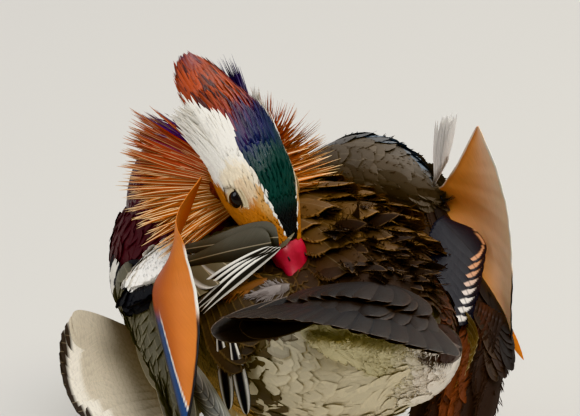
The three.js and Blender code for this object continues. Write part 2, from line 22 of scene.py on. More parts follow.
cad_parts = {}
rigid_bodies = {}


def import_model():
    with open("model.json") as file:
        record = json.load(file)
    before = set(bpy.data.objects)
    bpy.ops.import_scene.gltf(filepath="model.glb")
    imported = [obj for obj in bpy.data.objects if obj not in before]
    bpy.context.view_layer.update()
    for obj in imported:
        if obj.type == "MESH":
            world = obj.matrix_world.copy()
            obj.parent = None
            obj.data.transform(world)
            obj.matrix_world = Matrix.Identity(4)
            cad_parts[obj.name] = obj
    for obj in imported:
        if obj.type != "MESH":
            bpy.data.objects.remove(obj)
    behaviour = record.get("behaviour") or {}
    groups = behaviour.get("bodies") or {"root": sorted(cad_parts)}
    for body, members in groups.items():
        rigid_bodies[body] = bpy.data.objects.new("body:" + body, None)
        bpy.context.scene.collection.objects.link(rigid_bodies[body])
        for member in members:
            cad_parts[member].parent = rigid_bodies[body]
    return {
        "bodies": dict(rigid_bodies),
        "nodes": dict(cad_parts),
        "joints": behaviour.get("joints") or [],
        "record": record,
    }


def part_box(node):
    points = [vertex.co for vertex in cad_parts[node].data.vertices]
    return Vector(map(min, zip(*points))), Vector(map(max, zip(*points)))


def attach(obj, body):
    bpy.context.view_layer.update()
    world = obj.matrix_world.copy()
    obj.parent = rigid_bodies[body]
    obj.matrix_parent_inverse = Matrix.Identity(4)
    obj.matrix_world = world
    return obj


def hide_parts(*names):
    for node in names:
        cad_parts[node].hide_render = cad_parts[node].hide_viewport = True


LOG = logging.getLogger("duck")
MM = 0.001
Array = np.ndarray
RNG = np.random.default_rng(12)


# Small mathematics


def linear(code: str) -> tuple[float, float, float]:
    """Turns an sRGB hex colour into linear light.

    Args:
        code: Six hex digits with a leading hash.

    Returns:
        Red, green and blue in linear light.
    """
    parts = [int(code[i : i + 2], 16) / 255 for i in (1, 3, 5)]
    return tuple(c / 12.92 if c <= 0.04045 else ((c + 0.055) / 1.055) ** 2.4 for c in parts)


def mix(a: Array | float, b: Array | float, t: Array | float) -> Array:
    """Goes straight from a to b."""
    return np.asarray(a) * (1 - np.asarray(t)) + np.asarray(b) * np.asarray(t)


def smooth(low: float, high: float, x: Array | float) -> Array:
    """Rises smoothly from 0 at low to 1 at high."""
    t = np.clip((np.asarray(x, float) - low) / (high - low), 0, 1)
    return t * t * (3 - 2 * t)


def bell(t: Array | float) -> Array:
    """Rises from 0 to 1 at the middle and falls back."""
    return np.sin(np.pi * np.asarray(t))


def unit(v: Array) -> Array:
    """Scales vectors to length 1."""
    v = np.asarray(v, float)
    return v / np.maximum(np.linalg.norm(v, axis=-1, keepdims=True), 1e-9)


def heading(turn: float, rise: float) -> Array:
    """A direction from a turn about +Z and a rise above the horizontal, in degrees."""
    a, b = math.radians(turn), math.radians(rise)
    return np.array([math.cos(b) * math.cos(a), math.cos(b) * math.sin(a), math.sin(b)])


def shares(count: int) -> Array:
    """Even shares from 0 to 1."""
    return np.linspace(0, 1, count)


def noise(*size: int) -> Array:
    """Random numbers round 0 with a spread of 1."""
    return RNG.normal(size=size)


def spline(rows: Sequence[Sequence[float]], t: Array) -> Array:
    """Reads a smooth curve through rows of numbers.

    Args:
        rows: The values at evenly spaced stations.
        t: Shares of the way along, 0 to 1.

    Returns:
        One row of values for each share.
    """
    p = np.asarray(rows, float)
    last = len(p) - 1
    x = np.clip(np.asarray(t, float), 0, 1) * last
    i = np.minimum(np.floor(x).astype(int), last - 1)
    w = (x - i)[..., None]
    a, b, c, d = p[np.maximum(i - 1, 0)], p[i], p[i + 1], p[np.minimum(i + 2, last)]
    v0, v1 = (c - a) / 2, (d - b) / 2
    return (2 * b - 2 * c + v0 + v1) * w**3 + (-3 * b + 3 * c - 2 * v0 - v1) * w**2 + v0 * w + b


@dataclass(frozen=True)
class Axes:
    """A local frame: x along, z up as given, y across."""

    origin: Array
    x: Array
    y: Array
    z: Array

    @staticmethod
    def make(origin: Sequence[float], along: Sequence[float], up: Sequence[float]) -> "Axes":
        """Builds the frame from a way along it and a rough up.

        Args:
            origin: Where it starts.
            along: The way of x.
            up: Roughly the way of z.

        Returns:
            The frame.
        """
        x = unit(np.array(along, float))
        z = np.array(up, float)
        z = unit(z - x * z.dot(x))
        return Axes(np.array(origin, float), x, np.cross(z, x), z)

    def way(self, a: Array | float, b: Array | float, c: Array | float) -> Array:
        """A direction of this frame, or several."""
        a, b, c = (np.asarray(v, float)[..., None] for v in (a, b, c))
        return a * self.x + b * self.y + c * self.z

    def at(self, a: Array | float, b: Array | float, c: Array | float) -> Array:
        """A point of this frame, or several."""
        return self.origin + self.way(a, b, c)


@dataclass(frozen=True)
class Oval:
    """A body of oval sections: rows of [along, side, up, half width, height above, height below]."""

    axes: Axes
    rows: tuple[tuple[float, ...], ...]

    def point(self, t: Array, a: Array, grow: float = 0.0) -> Array:
        """Points of the surface at shares t of its length and turns a from the top, in radians.

        Args:
            t: Shares of the length.
            a: Turns from the top.
            grow: Distance outside the surface.

        Returns:
            Points.
        """
        t, a = np.broadcast_arrays(np.asarray(t, float), np.asarray(a, float))
        along, side, up, width, above, below = np.moveaxis(spline(self.rows, t), -1, 0)
        height = np.where(np.cos(a) > 0, above, below)
        return self.axes.at(along, side + (width + grow) * np.sin(a), up + (height + grow) * np.cos(a))

    def lie(self, t: Array, a: Array, grow: float = 0.0) -> tuple[Array, Array, Array]:
        """Root points with the way the coat runs and the way out of the skin.

        Args:
            t: Shares of the length.
            a: Turns from the top in radians.
            grow: Distance outside the surface.

        Returns:
            Points, unit ways towards the rear end, unit outward ways.
        """
        t, a = np.asarray(t, float), np.asarray(a, float)
        here = self.point(t, a, grow)
        along = unit(self.point(t + 0.01, a) - self.point(t - 0.01, a))
        round_ = unit(self.point(t, a + 0.02) - self.point(t, a - 0.02))
        out = unit(np.cross(round_, along))
        middle = spline(self.rows, t)
        away = here - self.axes.at(middle[..., 0], middle[..., 1], middle[..., 2])
        return here, along, out * np.sign((out * away).sum(-1, keepdims=True) + 1e-9)

    def fall(self, t: Array, a: Array, length: float | Array) -> Array:
        """The bend with which feathers of these lengths follow the surface away from their roots.

        Args:
            t: Shares of the length.
            a: Turns from the top.
            length: The feathers' lengths.

        Returns:
            A bend for each feather.
        """
        here, along, out = self.lie(t, a)
        step = np.linalg.norm(self.point(t + 0.01, a) - here, axis=-1)
        ahead = self.point(np.minimum(t + 0.007 * length / step, 0.998), a) - here
        run, drop = (ahead * along).sum(-1), (ahead * out).sum(-1)
        return np.clip(drop * length / np.maximum(run, 0.35 * length) ** 2, -0.45, 0.03)

    def inside(self, p: Array, margin: float = 0.0) -> Array:
        """True for points that lie inside the body, by more than margin.

        Args:
            p: Points.
            margin: How deep they have to lie.

        Returns:
            One flag for each point.
        """
        q = np.asarray(p, float) - self.axes.origin
        s, b, c = q @ self.axes.x, q @ self.axes.y, q @ self.axes.z
        rows = np.array(self.rows)
        order = np.argsort(rows[:, 0])
        side, up, width, above, below = (np.interp(s, rows[order, 0], rows[order, k]) for k in range(1, 6))
        height = np.where(c > up, above, below)
        reach = np.hypot((b - side) / np.maximum(width - margin, 1),
                         (c - up) / np.maximum(height - margin, 1))
        return (reach < 1) & (s > rows[:, 0].min() + margin) & (s < rows[:, 0].max() - margin)

    def grid(self, rings: int, around: int, grow: float = 0.0) -> tuple[Array, list[tuple[int, ...]]]:
        """A closed mesh of the body, as points and faces."""
        t, a = np.meshgrid(shares(rings), np.arange(around) * 2 * np.pi / around, indexing="ij")
        return loft(self.point(t, a, grow))


def loft(rings: Array) -> tuple[Array, list[tuple[int, ...]]]:
    """Joins rings of points into a closed mesh with flat ends.

    Args:
        rings: Points as [ring, place in the ring, xyz].

    Returns:
        Points and faces.
    """
    count, around = rings.shape[:2]
    faces = [tuple(range(around - 1, -1, -1)), tuple((count - 1) * around + j for j in range(around))]
    for i in range(count - 1):
        for j in range(around):
            k = (j + 1) % around
            faces.append((i * around + j, i * around + k, (i + 1) * around + k, (i + 1) * around + j))
    return rings.reshape(-1, 3), faces


class Plan:
    """Where everything on the bird is, with the shift from the bird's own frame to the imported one."""

    shift: Array = np.zeros(3)

    bird = Axes.make((0, 0, 0), (1, 0, 0), (0, 0, 1))
    torso = Oval(
        bird,
        (
            (103, 13, 120, 6, 7, 9),
            (92, 12, 119, 32, 28, 33),
            (66, 10, 115, 52, 42, 50),
            (30, 5, 110, 63, 53, 58),
            (-10, 1, 108, 66, 57, 60),
            (-50, 3, 110, 65, 50, 55),
            (-84, 8, 115, 58, 37, 46),
            (-108, 12, 119, 44, 28, 36),
            (-126, 16, 122, 17, 14, 16),
        ),
    )
    bill_base = (-48, 29, 160)
    head_axes = Axes.make(bill_base, heading(185, -39), heading(185, 51))
    head = Oval(
        head_axes,
        (
            (6, 0, 0.5, 7.2, 6.5, 6.5),
            (-2, 0, 1.5, 10.5, 9.5, 10),
            (-14, 0, 3, 15.5, 14.5, 15),
            (-27, 0, 5, 19, 18, 18.5),
            (-39, 0, 5.5, 19.5, 19, 18.5),
            (-49, 0, 5, 17, 16, 15),
            (-57, 0, 4, 8, 8, 8),
        ),
    )
    # The head under its coat goes on behind the solid's end, into the neck and under the crest
    full_head = Oval(
        head_axes,
        head.rows[:5] + ((-49, 0, 5.5, 19, 18, 18), (-58, 0, 6, 17.5, 15.5, 17), (-68, 0, 8, 14, 11.5, 14),
                         (-78, -1, 10, 8, 6, 9)),
    )
    crest = Oval(
        head_axes,
        ((-10, 0, 7, 12, 8, 6), (-26, 0, 10, 16.5, 13.8, 8), (-42, 0.5, 11, 18.5, 14.2, 9),
         (-54, 0.5, 12, 19, 14, 10), (-66, -0.5, 12, 18.5, 12, 9), (-78, -1.5, 11.5, 17, 9, 7),
         (-90, -2.5, 11.5, 13.5, 6.5, 5), (-101, -4, 12.5, 7, 4, 3)),
    )
    neck_path = np.array([(70, 12, 122), (56, 20, 150), (33, 29, 169), (8, 32, 180), head_axes.at(-44, 0, 2)],
                         float)
    wing_axes = {
        "left": Axes.make((36, 69, 118), (-0.84, 0.3, -0.42), (-0.1, -0.33, 0.93)),
        "right": Axes.make((40, -62, 126), (-0.9, 0.02, -0.42), (-0.2, -0.3, 0.92)),
    }
    arms = {
        "left": Oval(
            wing_axes["left"],
            ((-10, 0, 3, 3, 5, 5), (4, 0, 6, 8, 15, 10), (34, 1, 12, 9, 22, 12), (66, 1, 18, 8, 17, 10),
             (92, 0, 20, 4, 10, 7), (106, 0, 20, 2, 5, 5)),
        ),
        "right": Oval(
            wing_axes["right"],
            ((-10, 0, 3, 3, 5, 5), (4, 0, 5, 10, 40, 10), (30, -1, 9, 12, 44, 14), (62, -4, 9, 9, 28, 14),
             (94, -6, 5, 4, 16, 12), (110, -6, 2, 2, 6, 6)),
        ),
    }
    hump = Oval(
        Axes.make((38, -44, 158), (-0.86, -0.5, 0), (-0.1, -0.2, 1)),
        ((-8, 0, -4, 4, 5, 5), (8, 0, 0, 14, 12, 12), (28, 0, 2, 19, 15, 16), (46, 0, 1, 17, 12, 15),
         (60, 0, -3, 11, 7, 9), (68, 0, -5, 4, 3, 4)),
    )
    outward = {"left": -1, "right": 1}
    vent = Oval(
        Axes.make((-96, 8, 118), heading(131, 14), (0, 0, 1)),
        ((-24, 0, 0, 42, 22, 36), (0, 0, 2, 42, 20, 33), (20, 0, 6, 36, 15, 27), (38, 0, 10, 26, 9, 17),
         (52, 0, 13, 12, 4, 7)),
    )
    tail_root = np.array([-98, 4, 149], float)
    # Where the eyes' centres are in the head's frame. The right one ties the bird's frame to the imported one
    eye_along, eye_out, eye_up = -26.5, 13.8, 7
    legs = {"left": 37, "right": -25}
    thigh_path = ((-20, 78), (-28, 60), (-33, 45))

    @staticmethod
    def neck_radius(t: Array) -> Array:
        """The neck's radius at shares of its length."""
        return mix(36, 18, np.sqrt(np.clip(t, 0, 1)))

    @classmethod
    def neck(cls, t: Array, a: Array, grow: float = 0.0) -> tuple[Array, Array, Array]:
        """Points on the neck with the way the coat runs, down to the breast, and the way out.

        Args:
            t: Shares of the length.
            a: Turns round it.
            grow: Distance outside the surface.

        Returns:
            Points, ways along and ways out.
        """
        t, a = np.broadcast_arrays(np.asarray(t, float), np.asarray(a, float))
        here = spline(cls.neck_path, t)
        ahead = unit(spline(cls.neck_path, t + 0.01) - spline(cls.neck_path, t - 0.01))
        up = np.array([0.1, 0.2, 1.0])
        z = unit(up - ahead * (ahead @ up)[..., None])
        y = np.cross(z, ahead)
        out = np.cos(a)[..., None] * y + np.sin(a)[..., None] * z
        plump = 5 * np.sin(np.pi * np.clip(t / 0.8, 0, 1))
        return here + out * (cls.neck_radius(t) + plump + grow)[..., None], -ahead, out

    @classmethod
    def inside_neck(cls, p: Array, margin: float) -> Array:
        """True for points that lie inside the neck by more than margin.

        Args:
            p: Points.
            margin: How deep they have to lie.

        Returns:
            One flag for each point.
        """
        t = shares(24)
        axis = spline(cls.neck_path, t)
        gap = np.linalg.norm(p[:, None] - axis[None], axis=-1) - (cls.neck_radius(t) - margin)[None]
        return (gap < 0).any(1)


# Feathers


class Shape(Enum):
    """Outlines of a vane: share of the width at shares t of the length."""

    ROUND = "round"
    BLUNT = "blunt"
    LANCE = "lance"
    LOCK = "lock"
    HACKLE = "hackle"

    def widths(self, t: Array) -> Array:
        """The half width of the vane, 0 to 1, at shares t of its length.

        Args:
            t: Shares of the length.

        Returns:
            Shares of the half width.
        """
        t = np.asarray(t, float)
        base, widest, power = {
            "round": (0.35, 0.6, 2.2),
            "blunt": (0.3, 0.8, 2.6),
            "lance": (0.45, 0.5, 1.9),
            "lock": (0.5, 0.3, 1.35),
            "hackle": (0.45, 0.45, 1.3),
        }[self.value]
        rise = base + (1 - base) * smooth(0, widest, t)
        fall = (1 - np.clip((t - widest) / (1 - widest), 0, 1) ** power) ** (1 / power)
        return np.maximum(np.where(t < widest, rise, fall), 0.04)


@dataclass
class Batch:
    """A group of feathers that share an outline. Arrays hold one row for each feather."""

    root: Array
    along: Array
    normal: Array
    length: Array | float
    width: Array | float
    web: Array | Callable[[Array, Array], Array]
    rim: Array | Sequence[float] = (0.0, 0.0, 0.0)
    rim_mm: Array | float = 0.0
    shaft: Array | float = 0.4
    mark: Array | float = 0.0
    lift: Array | float = 0.0
    bend: Array | float = -0.05
    sweep: Array | float = 0.0
    cup: Array | float = 0.1
    twist: Array | float = 0.0
    thick: float = 0.35
    shape: Shape = Shape.ROUND
    rings: int = 5
    across: int = 3
    patch: float = 0.003

    def __len__(self) -> int:
        """The number of feathers."""
        return len(self.root)

    def frames(self) -> tuple[Array, Array, Array]:
        """Each feather's own axes: along, across and out.

        Returns:
            Three unit ways for each feather.
        """
        x = unit(self.along)
        z = unit(self.normal - x * (self.normal * x).sum(-1, keepdims=True))
        tilt = np.broadcast_to(np.asarray(self.lift, float), (len(self),))[:, None]
        x, z = x * np.cos(tilt) + z * np.sin(tilt), z * np.cos(tilt) - x * np.sin(tilt)
        y = np.cross(z, x)
        turn = np.broadcast_to(np.asarray(self.twist, float), (len(self),))[:, None]
        return x, y * np.cos(turn) + z * np.sin(turn), z * np.cos(turn) - y * np.sin(turn)

    def fringe(self, count: int, size: float, web: Array, start: float = 0.3) -> "Batch":
        """Loose barbs round the edge of each feather.

        Args:
            count: Barbs for each feather.
            size: Length of a barb in millimetres.
            web: Colour of each feather's barbs.
            start: Share of the length where they begin.

        Returns:
            A group of thin barbs.
        """
        n = len(self)
        x, y, z = (np.repeat(v, count, 0) for v in self.frames())

        def each(v: Array | float) -> Array:
            """Hands a feather's value to each of its barbs."""
            return np.repeat(np.broadcast_to(np.asarray(v, float), (n,)), count)

        t = start + (1 - start) * RNG.uniform(size=n * count) ** 0.8
        side = RNG.choice([-1.0, 1.0], n * count)
        wide = self.shape.widths(t)
        length, width = each(self.length), each(self.width)
        off = side * wide * width / 2 * 0.82
        rise = length * each(self.bend) * t**2 - each(self.cup) * width * wide * 0.67
        root = np.repeat(self.root, count, 0) + x * (length * t * 0.97)[:, None]
        root = root + y * (off + length * each(self.sweep) * t**2)[:, None] + z * rise[:, None]
        open_ = np.radians(mix(48, 8, t**2)) * side + 0.2 * noise(n * count)
        stray = 0.12 * noise(n * count, 1)
        along = x * np.cos(open_)[:, None] + y * np.sin(open_)[:, None] + z * stray
        return Batch(root, along, z, size * RNG.uniform(0.6, 1.2, n * count), 0.75, np.repeat(web, count, 0),
                     shaft=0.0, bend=-0.1, rings=3, thick=0.2, shape=Shape.HACKLE)

    def mesh(self) -> dict[str, Array]:
        """Builds every feather of the group.

        Returns:
            Arrays of points, quads, end caps and the values that the finish reads.
        """
        n, rings, across = len(self.root), self.rings, self.across

        def column(v: Array | float) -> Array:
            """Spreads a feather's value over its rings and its width."""
            return np.broadcast_to(np.asarray(v, float), (n,))[:, None, None]

        s = shares(rings)
        t = 1 - (1 - s) ** 1.45
        top = np.linspace(-1, 1, across)
        under = top[-2:0:-1] if across > 3 else np.array([0.0])
        u = np.concatenate([top, under])
        side = np.concatenate([np.zeros(across), np.ones(len(under))])
        around = len(u)
        profile = self.shape.widths(t)
        x, y, z = self.frames()
        tt, uu = np.meshgrid(t, u, indexing="ij")
        tt, uu = tt[None], uu[None]
        length, width = column(self.length), column(self.width)
        half = width / 2 * profile[None, :, None] * uu
        depth = self.thick * (1 - 0.7 * tt) * (1 - uu**2)
        rise = length * column(self.bend) * tt**2 - column(self.cup) * width * profile[None, :, None] * uu**2
        rise = rise - depth * side[None, None, :]
        slide = half + length * column(self.sweep) * tt**2
        reach = length * tt
        p = (
            self.root[:, None, None]
            + x[:, None, None] * reach[..., None]
            + y[:, None, None] * slide[..., None]
            + z[:, None, None] * rise[..., None]
        )
        full = np.broadcast_to
        shape = (n, rings, around)
        edge = np.minimum(width / 2 * profile[None, :, None] * (1 - np.abs(uu)), length * (1 - tt) * 0.9)
        web = self.web(full(uu, shape), full(tt, shape)) if callable(self.web) else np.asarray(self.web)
        if web.ndim < 4:
            web = np.broadcast_to(web, (n, 3))[:, None, None]
        rim = np.asarray(self.rim, float)
        if rim.ndim < 4:
            rim = np.broadcast_to(rim, (n, 3))[:, None, None]
        base = (np.arange(n) * rings * around)[:, None, None]
        i, j = np.meshgrid(np.arange(rings - 1), np.arange(around), indexing="ij")
        k = (j + 1) % around
        quad = np.stack([i * around + j, (i + 1) * around + j, (i + 1) * around + k, i * around + k], -1)
        caps = np.stack([np.arange(around), (rings - 1) * around + np.arange(around)[::-1]])
        ones = np.ones(shape)
        return {
            "points": p.reshape(-1, 3),
            "quads": (base + quad.reshape(1, -1, 4)).reshape(-1, 4),
            "caps": (base + caps[None]).reshape(-1, around),
            "web": np.concatenate(
                [full(web, shape + (3,)), (column(self.shaft) * ones)[..., None]], -1
            ).reshape(-1, 4),
            "rim": np.concatenate(
                [full(rim, shape + (3,)), (column(self.rim_mm) * ones)[..., None]], -1
            ).reshape(-1, 4),
            "edge": full(edge, shape).reshape(-1),
            "mark": (column(self.mark) * ones).reshape(-1),
            "vane": np.stack([full(half, shape), full(length * tt, shape)], -1).reshape(-1, 2) / 100,
            "tile": np.stack([full(uu / 2, shape), full(tt, shape)], -1).reshape(-1, 2) * self.patch,
            "place": np.repeat(self.root, rings * around, 0),
            "sharp": (np.abs(full(uu, shape)) > 0.99).reshape(-1)
            | (full(tt, shape) > 0.995).reshape(-1),
        }


def place_on(axes: Axes, p: Array) -> Array:
    """Where points lie on an unwrap round the body's own axis, 0 to 1 both ways.

    Args:
        axes: The body's axes.
        p: Points in the bird's frame.

    Returns:
        A place on the unwrap for each point.
    """
    q = p - axes.origin
    turn = np.arctan2(q @ axes.y, q @ axes.z) / (2 * np.pi) + 0.5
    return np.stack([turn * 0.99, np.clip((q @ axes.x) / 320 + 0.5, 0, 0.99)], -1)


class Coat:
    """Collects groups of feathers and turns them into one mesh piece."""

    roots: list[tuple[Array, Array]] = []

    def __init__(self, name: str, axes: Axes, tiles: bool = False) -> None:
        """Starts an empty coat.

        Args:
            name: The piece's name.
            axes: The axes round which the coat is unwrapped.
            tiles: Whether each feather has its own tile of the unwrap.
        """
        self.name = name
        self.axes = axes
        self.tiles = tiles
        self.batches: list[Batch] = []

    def add(self, batch: Batch) -> None:
        """Takes a group and remembers its colours for the skin.

        Args:
            batch: The group.
        """
        if not len(batch):
            return
        self.batches.append(batch)
        if not callable(batch.web) and np.asarray(batch.web).ndim == 2:
            Coat.roots.append((batch.root, np.asarray(batch.web)))

    def build(self, finish: "Finish", slot: str) -> bpy.types.Object:
        """Makes the mesh, gives it its finish and seats it on the body.

        Args:
            finish: The coat's finish.
            slot: Not used.

        Returns:
            The new object.
        """
        parts = [b.mesh() for b in self.batches]
        start = np.cumsum([0] + [len(p["points"]) for p in parts])
        points = np.concatenate([p["points"] for p in parts])
        loops, totals = [], []
        for p, s in zip(parts, start):
            for key in ("quads", "caps"):
                loops.append((p[key] + s).reshape(-1))
                totals.append(np.full(len(p[key]), p[key].shape[1]))
        loops, totals = np.concatenate(loops), np.concatenate(totals)
        mesh = bpy.data.meshes.new(self.name)
        fill(mesh, points, loops, totals)

        def gather(key: str) -> Array:
            """Joins one array of all the groups."""
            return np.concatenate([p[key] for p in parts])

        for key in ("web", "rim"):
            layer = mesh.color_attributes.new(key, "FLOAT_COLOR", "POINT")
            layer.data.foreach_set("color", gather(key).astype(np.float32).ravel())
        for key in ("edge", "mark"):
            layer = mesh.attributes.new(key, "FLOAT", "POINT")
            layer.data.foreach_set("value", gather(key).astype(np.float32))
        if self.tiles:
            count = sum(len(b) for b in self.batches)
            cells = math.ceil(math.sqrt(count))
            index = np.repeat(np.arange(count), np.concatenate([
                np.full(len(b), len(p["points"]) // len(b)) for b, p in zip(self.batches, parts)]))
            scale = np.concatenate([p["tile"] / b.patch for b, p in zip(self.batches, parts)])
            bake = np.stack([(index % cells + 0.5 + scale[:, 0] * 0.9) / cells,
                             (index // cells + 0.05 + scale[:, 1] * 0.9) / cells], -1)
        else:
            bake = place_on(self.axes, gather("place")) + gather("tile")
        for name, values in (("OFBake", bake), ("vane", gather("vane"))):
            layer = mesh.uv_layers.new(name=name)
            layer.data.foreach_set("uv", values[loops].astype(np.float32).ravel())
        sharp_edges(mesh, gather("sharp"))
        obj = seat(mesh, finish)
        LOG.info("%s: %d feathers, %d triangles", self.name, sum(map(len, self.batches)),
                 int((totals - 2).sum()))
        return obj


def fill(mesh: bpy.types.Mesh, points: Array, loops: Array, totals: Array) -> None:
    """Fills an empty mesh with points in millimetres and faces.

    Args:
        mesh: The empty mesh.
        points: Its points.
        loops: The points of all faces in turn.
        totals: How many points each face has.
    """
    mesh.vertices.add(len(points))
    mesh.vertices.foreach_set("co", ((points + Plan.shift) * MM).astype(np.float32).ravel())
    mesh.loops.add(len(loops))
    mesh.loops.foreach_set("vertex_index", loops.astype(np.int32))
    mesh.polygons.add(len(totals))
    mesh.polygons.foreach_set("loop_start", np.concatenate([[0], np.cumsum(totals)[:-1]]).astype(np.int32))
    mesh.polygons.foreach_set("loop_total", totals.astype(np.int32))
    mesh.update(calc_edges=True)
    mesh.polygons.foreach_set("use_smooth", np.ones(len(totals), bool))


def sharp_edges(mesh: bpy.types.Mesh, flag: Array) -> None:
    """Keeps the two sides of a vane apart where both ends of an edge are flagged.

    Args:
        mesh: The filled mesh.
        flag: True for points on a vane's border.
    """
    pairs = np.empty(len(mesh.edges) * 2, np.int32)
    mesh.edges.foreach_get("vertices", pairs)
    pairs = pairs.reshape(-1, 2)
    mesh.edges.foreach_set("use_edge_sharp", flag[pairs[:, 0]] & flag[pairs[:, 1]])
    mesh.update()


def seat(mesh: bpy.types.Mesh, finish: "Finish") -> bpy.types.Object:
    """Puts a mesh in the scene on the model's body, with its finish.

    Args:
        mesh: The mesh.
        finish: Its finish.

    Returns:
        The new object.
    """
    obj = bpy.data.objects.new(mesh.name.replace(" ", "_"), mesh)
    bpy.context.scene.collection.objects.link(obj)
    mesh.materials.append(finish.material())
    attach(obj, "root")
    return obj


# Finishes


class Tree:
    """A material's nodes."""

    def __init__(self, name: str) -> None:
        """Starts an empty material of this name.

        Args:
            name: The material's name.
        """
        self.material = bpy.data.materials.new(name)
        self.material.use_nodes = True
        self.nodes = self.material.node_tree.nodes
        self.links = self.material.node_tree.links
        self.nodes.clear()

    def add(self, kind: str, inputs: dict[str | int, object] | None = None,
            **settings: object) -> bpy.types.Node:
        """Adds one node. Values that are sockets are linked, the others are set.

        Args:
            kind: The node's type.
            inputs: Sockets or values by the input's name or number.
            settings: The node's own settings.

        Returns:
            The node.
        """
        node = self.nodes.new(kind)
        for key, value in settings.items():
            setattr(node, key, value)
        for key, value in (inputs or {}).items():
            if isinstance(value, bpy.types.NodeSocket):
                self.links.new(value, node.inputs[key])
            else:
                node.inputs[key].default_value = value
        return node

    def math(self, operation: str, a: object, b: object = 0.0, clamp: bool = False) -> bpy.types.NodeSocket:
        """One arithmetic step."""
        return self.add("ShaderNodeMath", {0: a, 1: b}, operation=operation, use_clamp=clamp).outputs[0]

    def ramp(self, value: object, low: object, high: object) -> bpy.types.NodeSocket:
        """Rises smoothly from 0 at low to 1 at high.

        Args:
            value: What is read.
            low: Where the rise starts.
            high: Where it ends.

        Returns:
            The result's socket.
        """
        node = self.add("ShaderNodeMapRange", {"Value": value, "From Min": low, "From Max": high},
                        interpolation_type="SMOOTHSTEP", clamp=True)
        return node.outputs["Result"]

    def blend(self, factor: object, a: object, b: object, mode: str = "MIX") -> bpy.types.NodeSocket:
        """Mixes two colours.

        Args:
            factor: Share of the second colour.
            a: The first colour.
            b: The second colour.
            mode: How they mix.

        Returns:
            The result's socket.
        """
        node = self.nodes.new("ShaderNodeMix")
        node.data_type = "RGBA"
        node.blend_type = mode
        for socket, value in ((node.inputs[0], factor), (node.inputs[6], a), (node.inputs[7], b)):
            if isinstance(value, bpy.types.NodeSocket):
                self.links.new(value, socket)
            else:
                socket.default_value = value if isinstance(value, (int, float)) else (*tuple(value)[:3], 1.0)
        return node.outputs[2]


@dataclass(frozen=True)
class Finish:
    """A finish of the model's surface."""

    name: str
    roughness: float = 0.6

    def material(self) -> bpy.types.Material:
        """Makes the material, or finds it when it is there already."""
        found = bpy.data.materials.get(self.name)
        return found or self.make(Tree(self.name))

    def make(self, tree: Tree) -> bpy.types.Material:
        """Builds the nodes."""
        raise NotImplementedError

    def close(self, tree: Tree, colour: object, height: object = None, bump: float = 0.0,
              **inputs: object) -> bpy.types.Material:
        """Ends the nodes with the surface shader.

        Args:
            tree: The node tree to fill.
            colour: The base colour.
            height: What the bump reads.
            bump: Its strength.
            inputs: Other inputs of the shader.

        Returns:
            The finished material.
        """
        values = {"Base Color": colour, "Roughness": self.roughness}
        values.update({key.replace("_", " "): value for key, value in inputs.items()})
        if height is not None:
            bumped = tree.add("ShaderNodeBump", {"Height": height, "Strength": bump, "Distance": 0.0002})
            values["Normal"] = bumped.outputs[0]
        shader = tree.add("ShaderNodeBsdfPrincipled", values)
        tree.add("ShaderNodeOutputMaterial", {"Surface": shader.outputs[0]})
        return tree.material


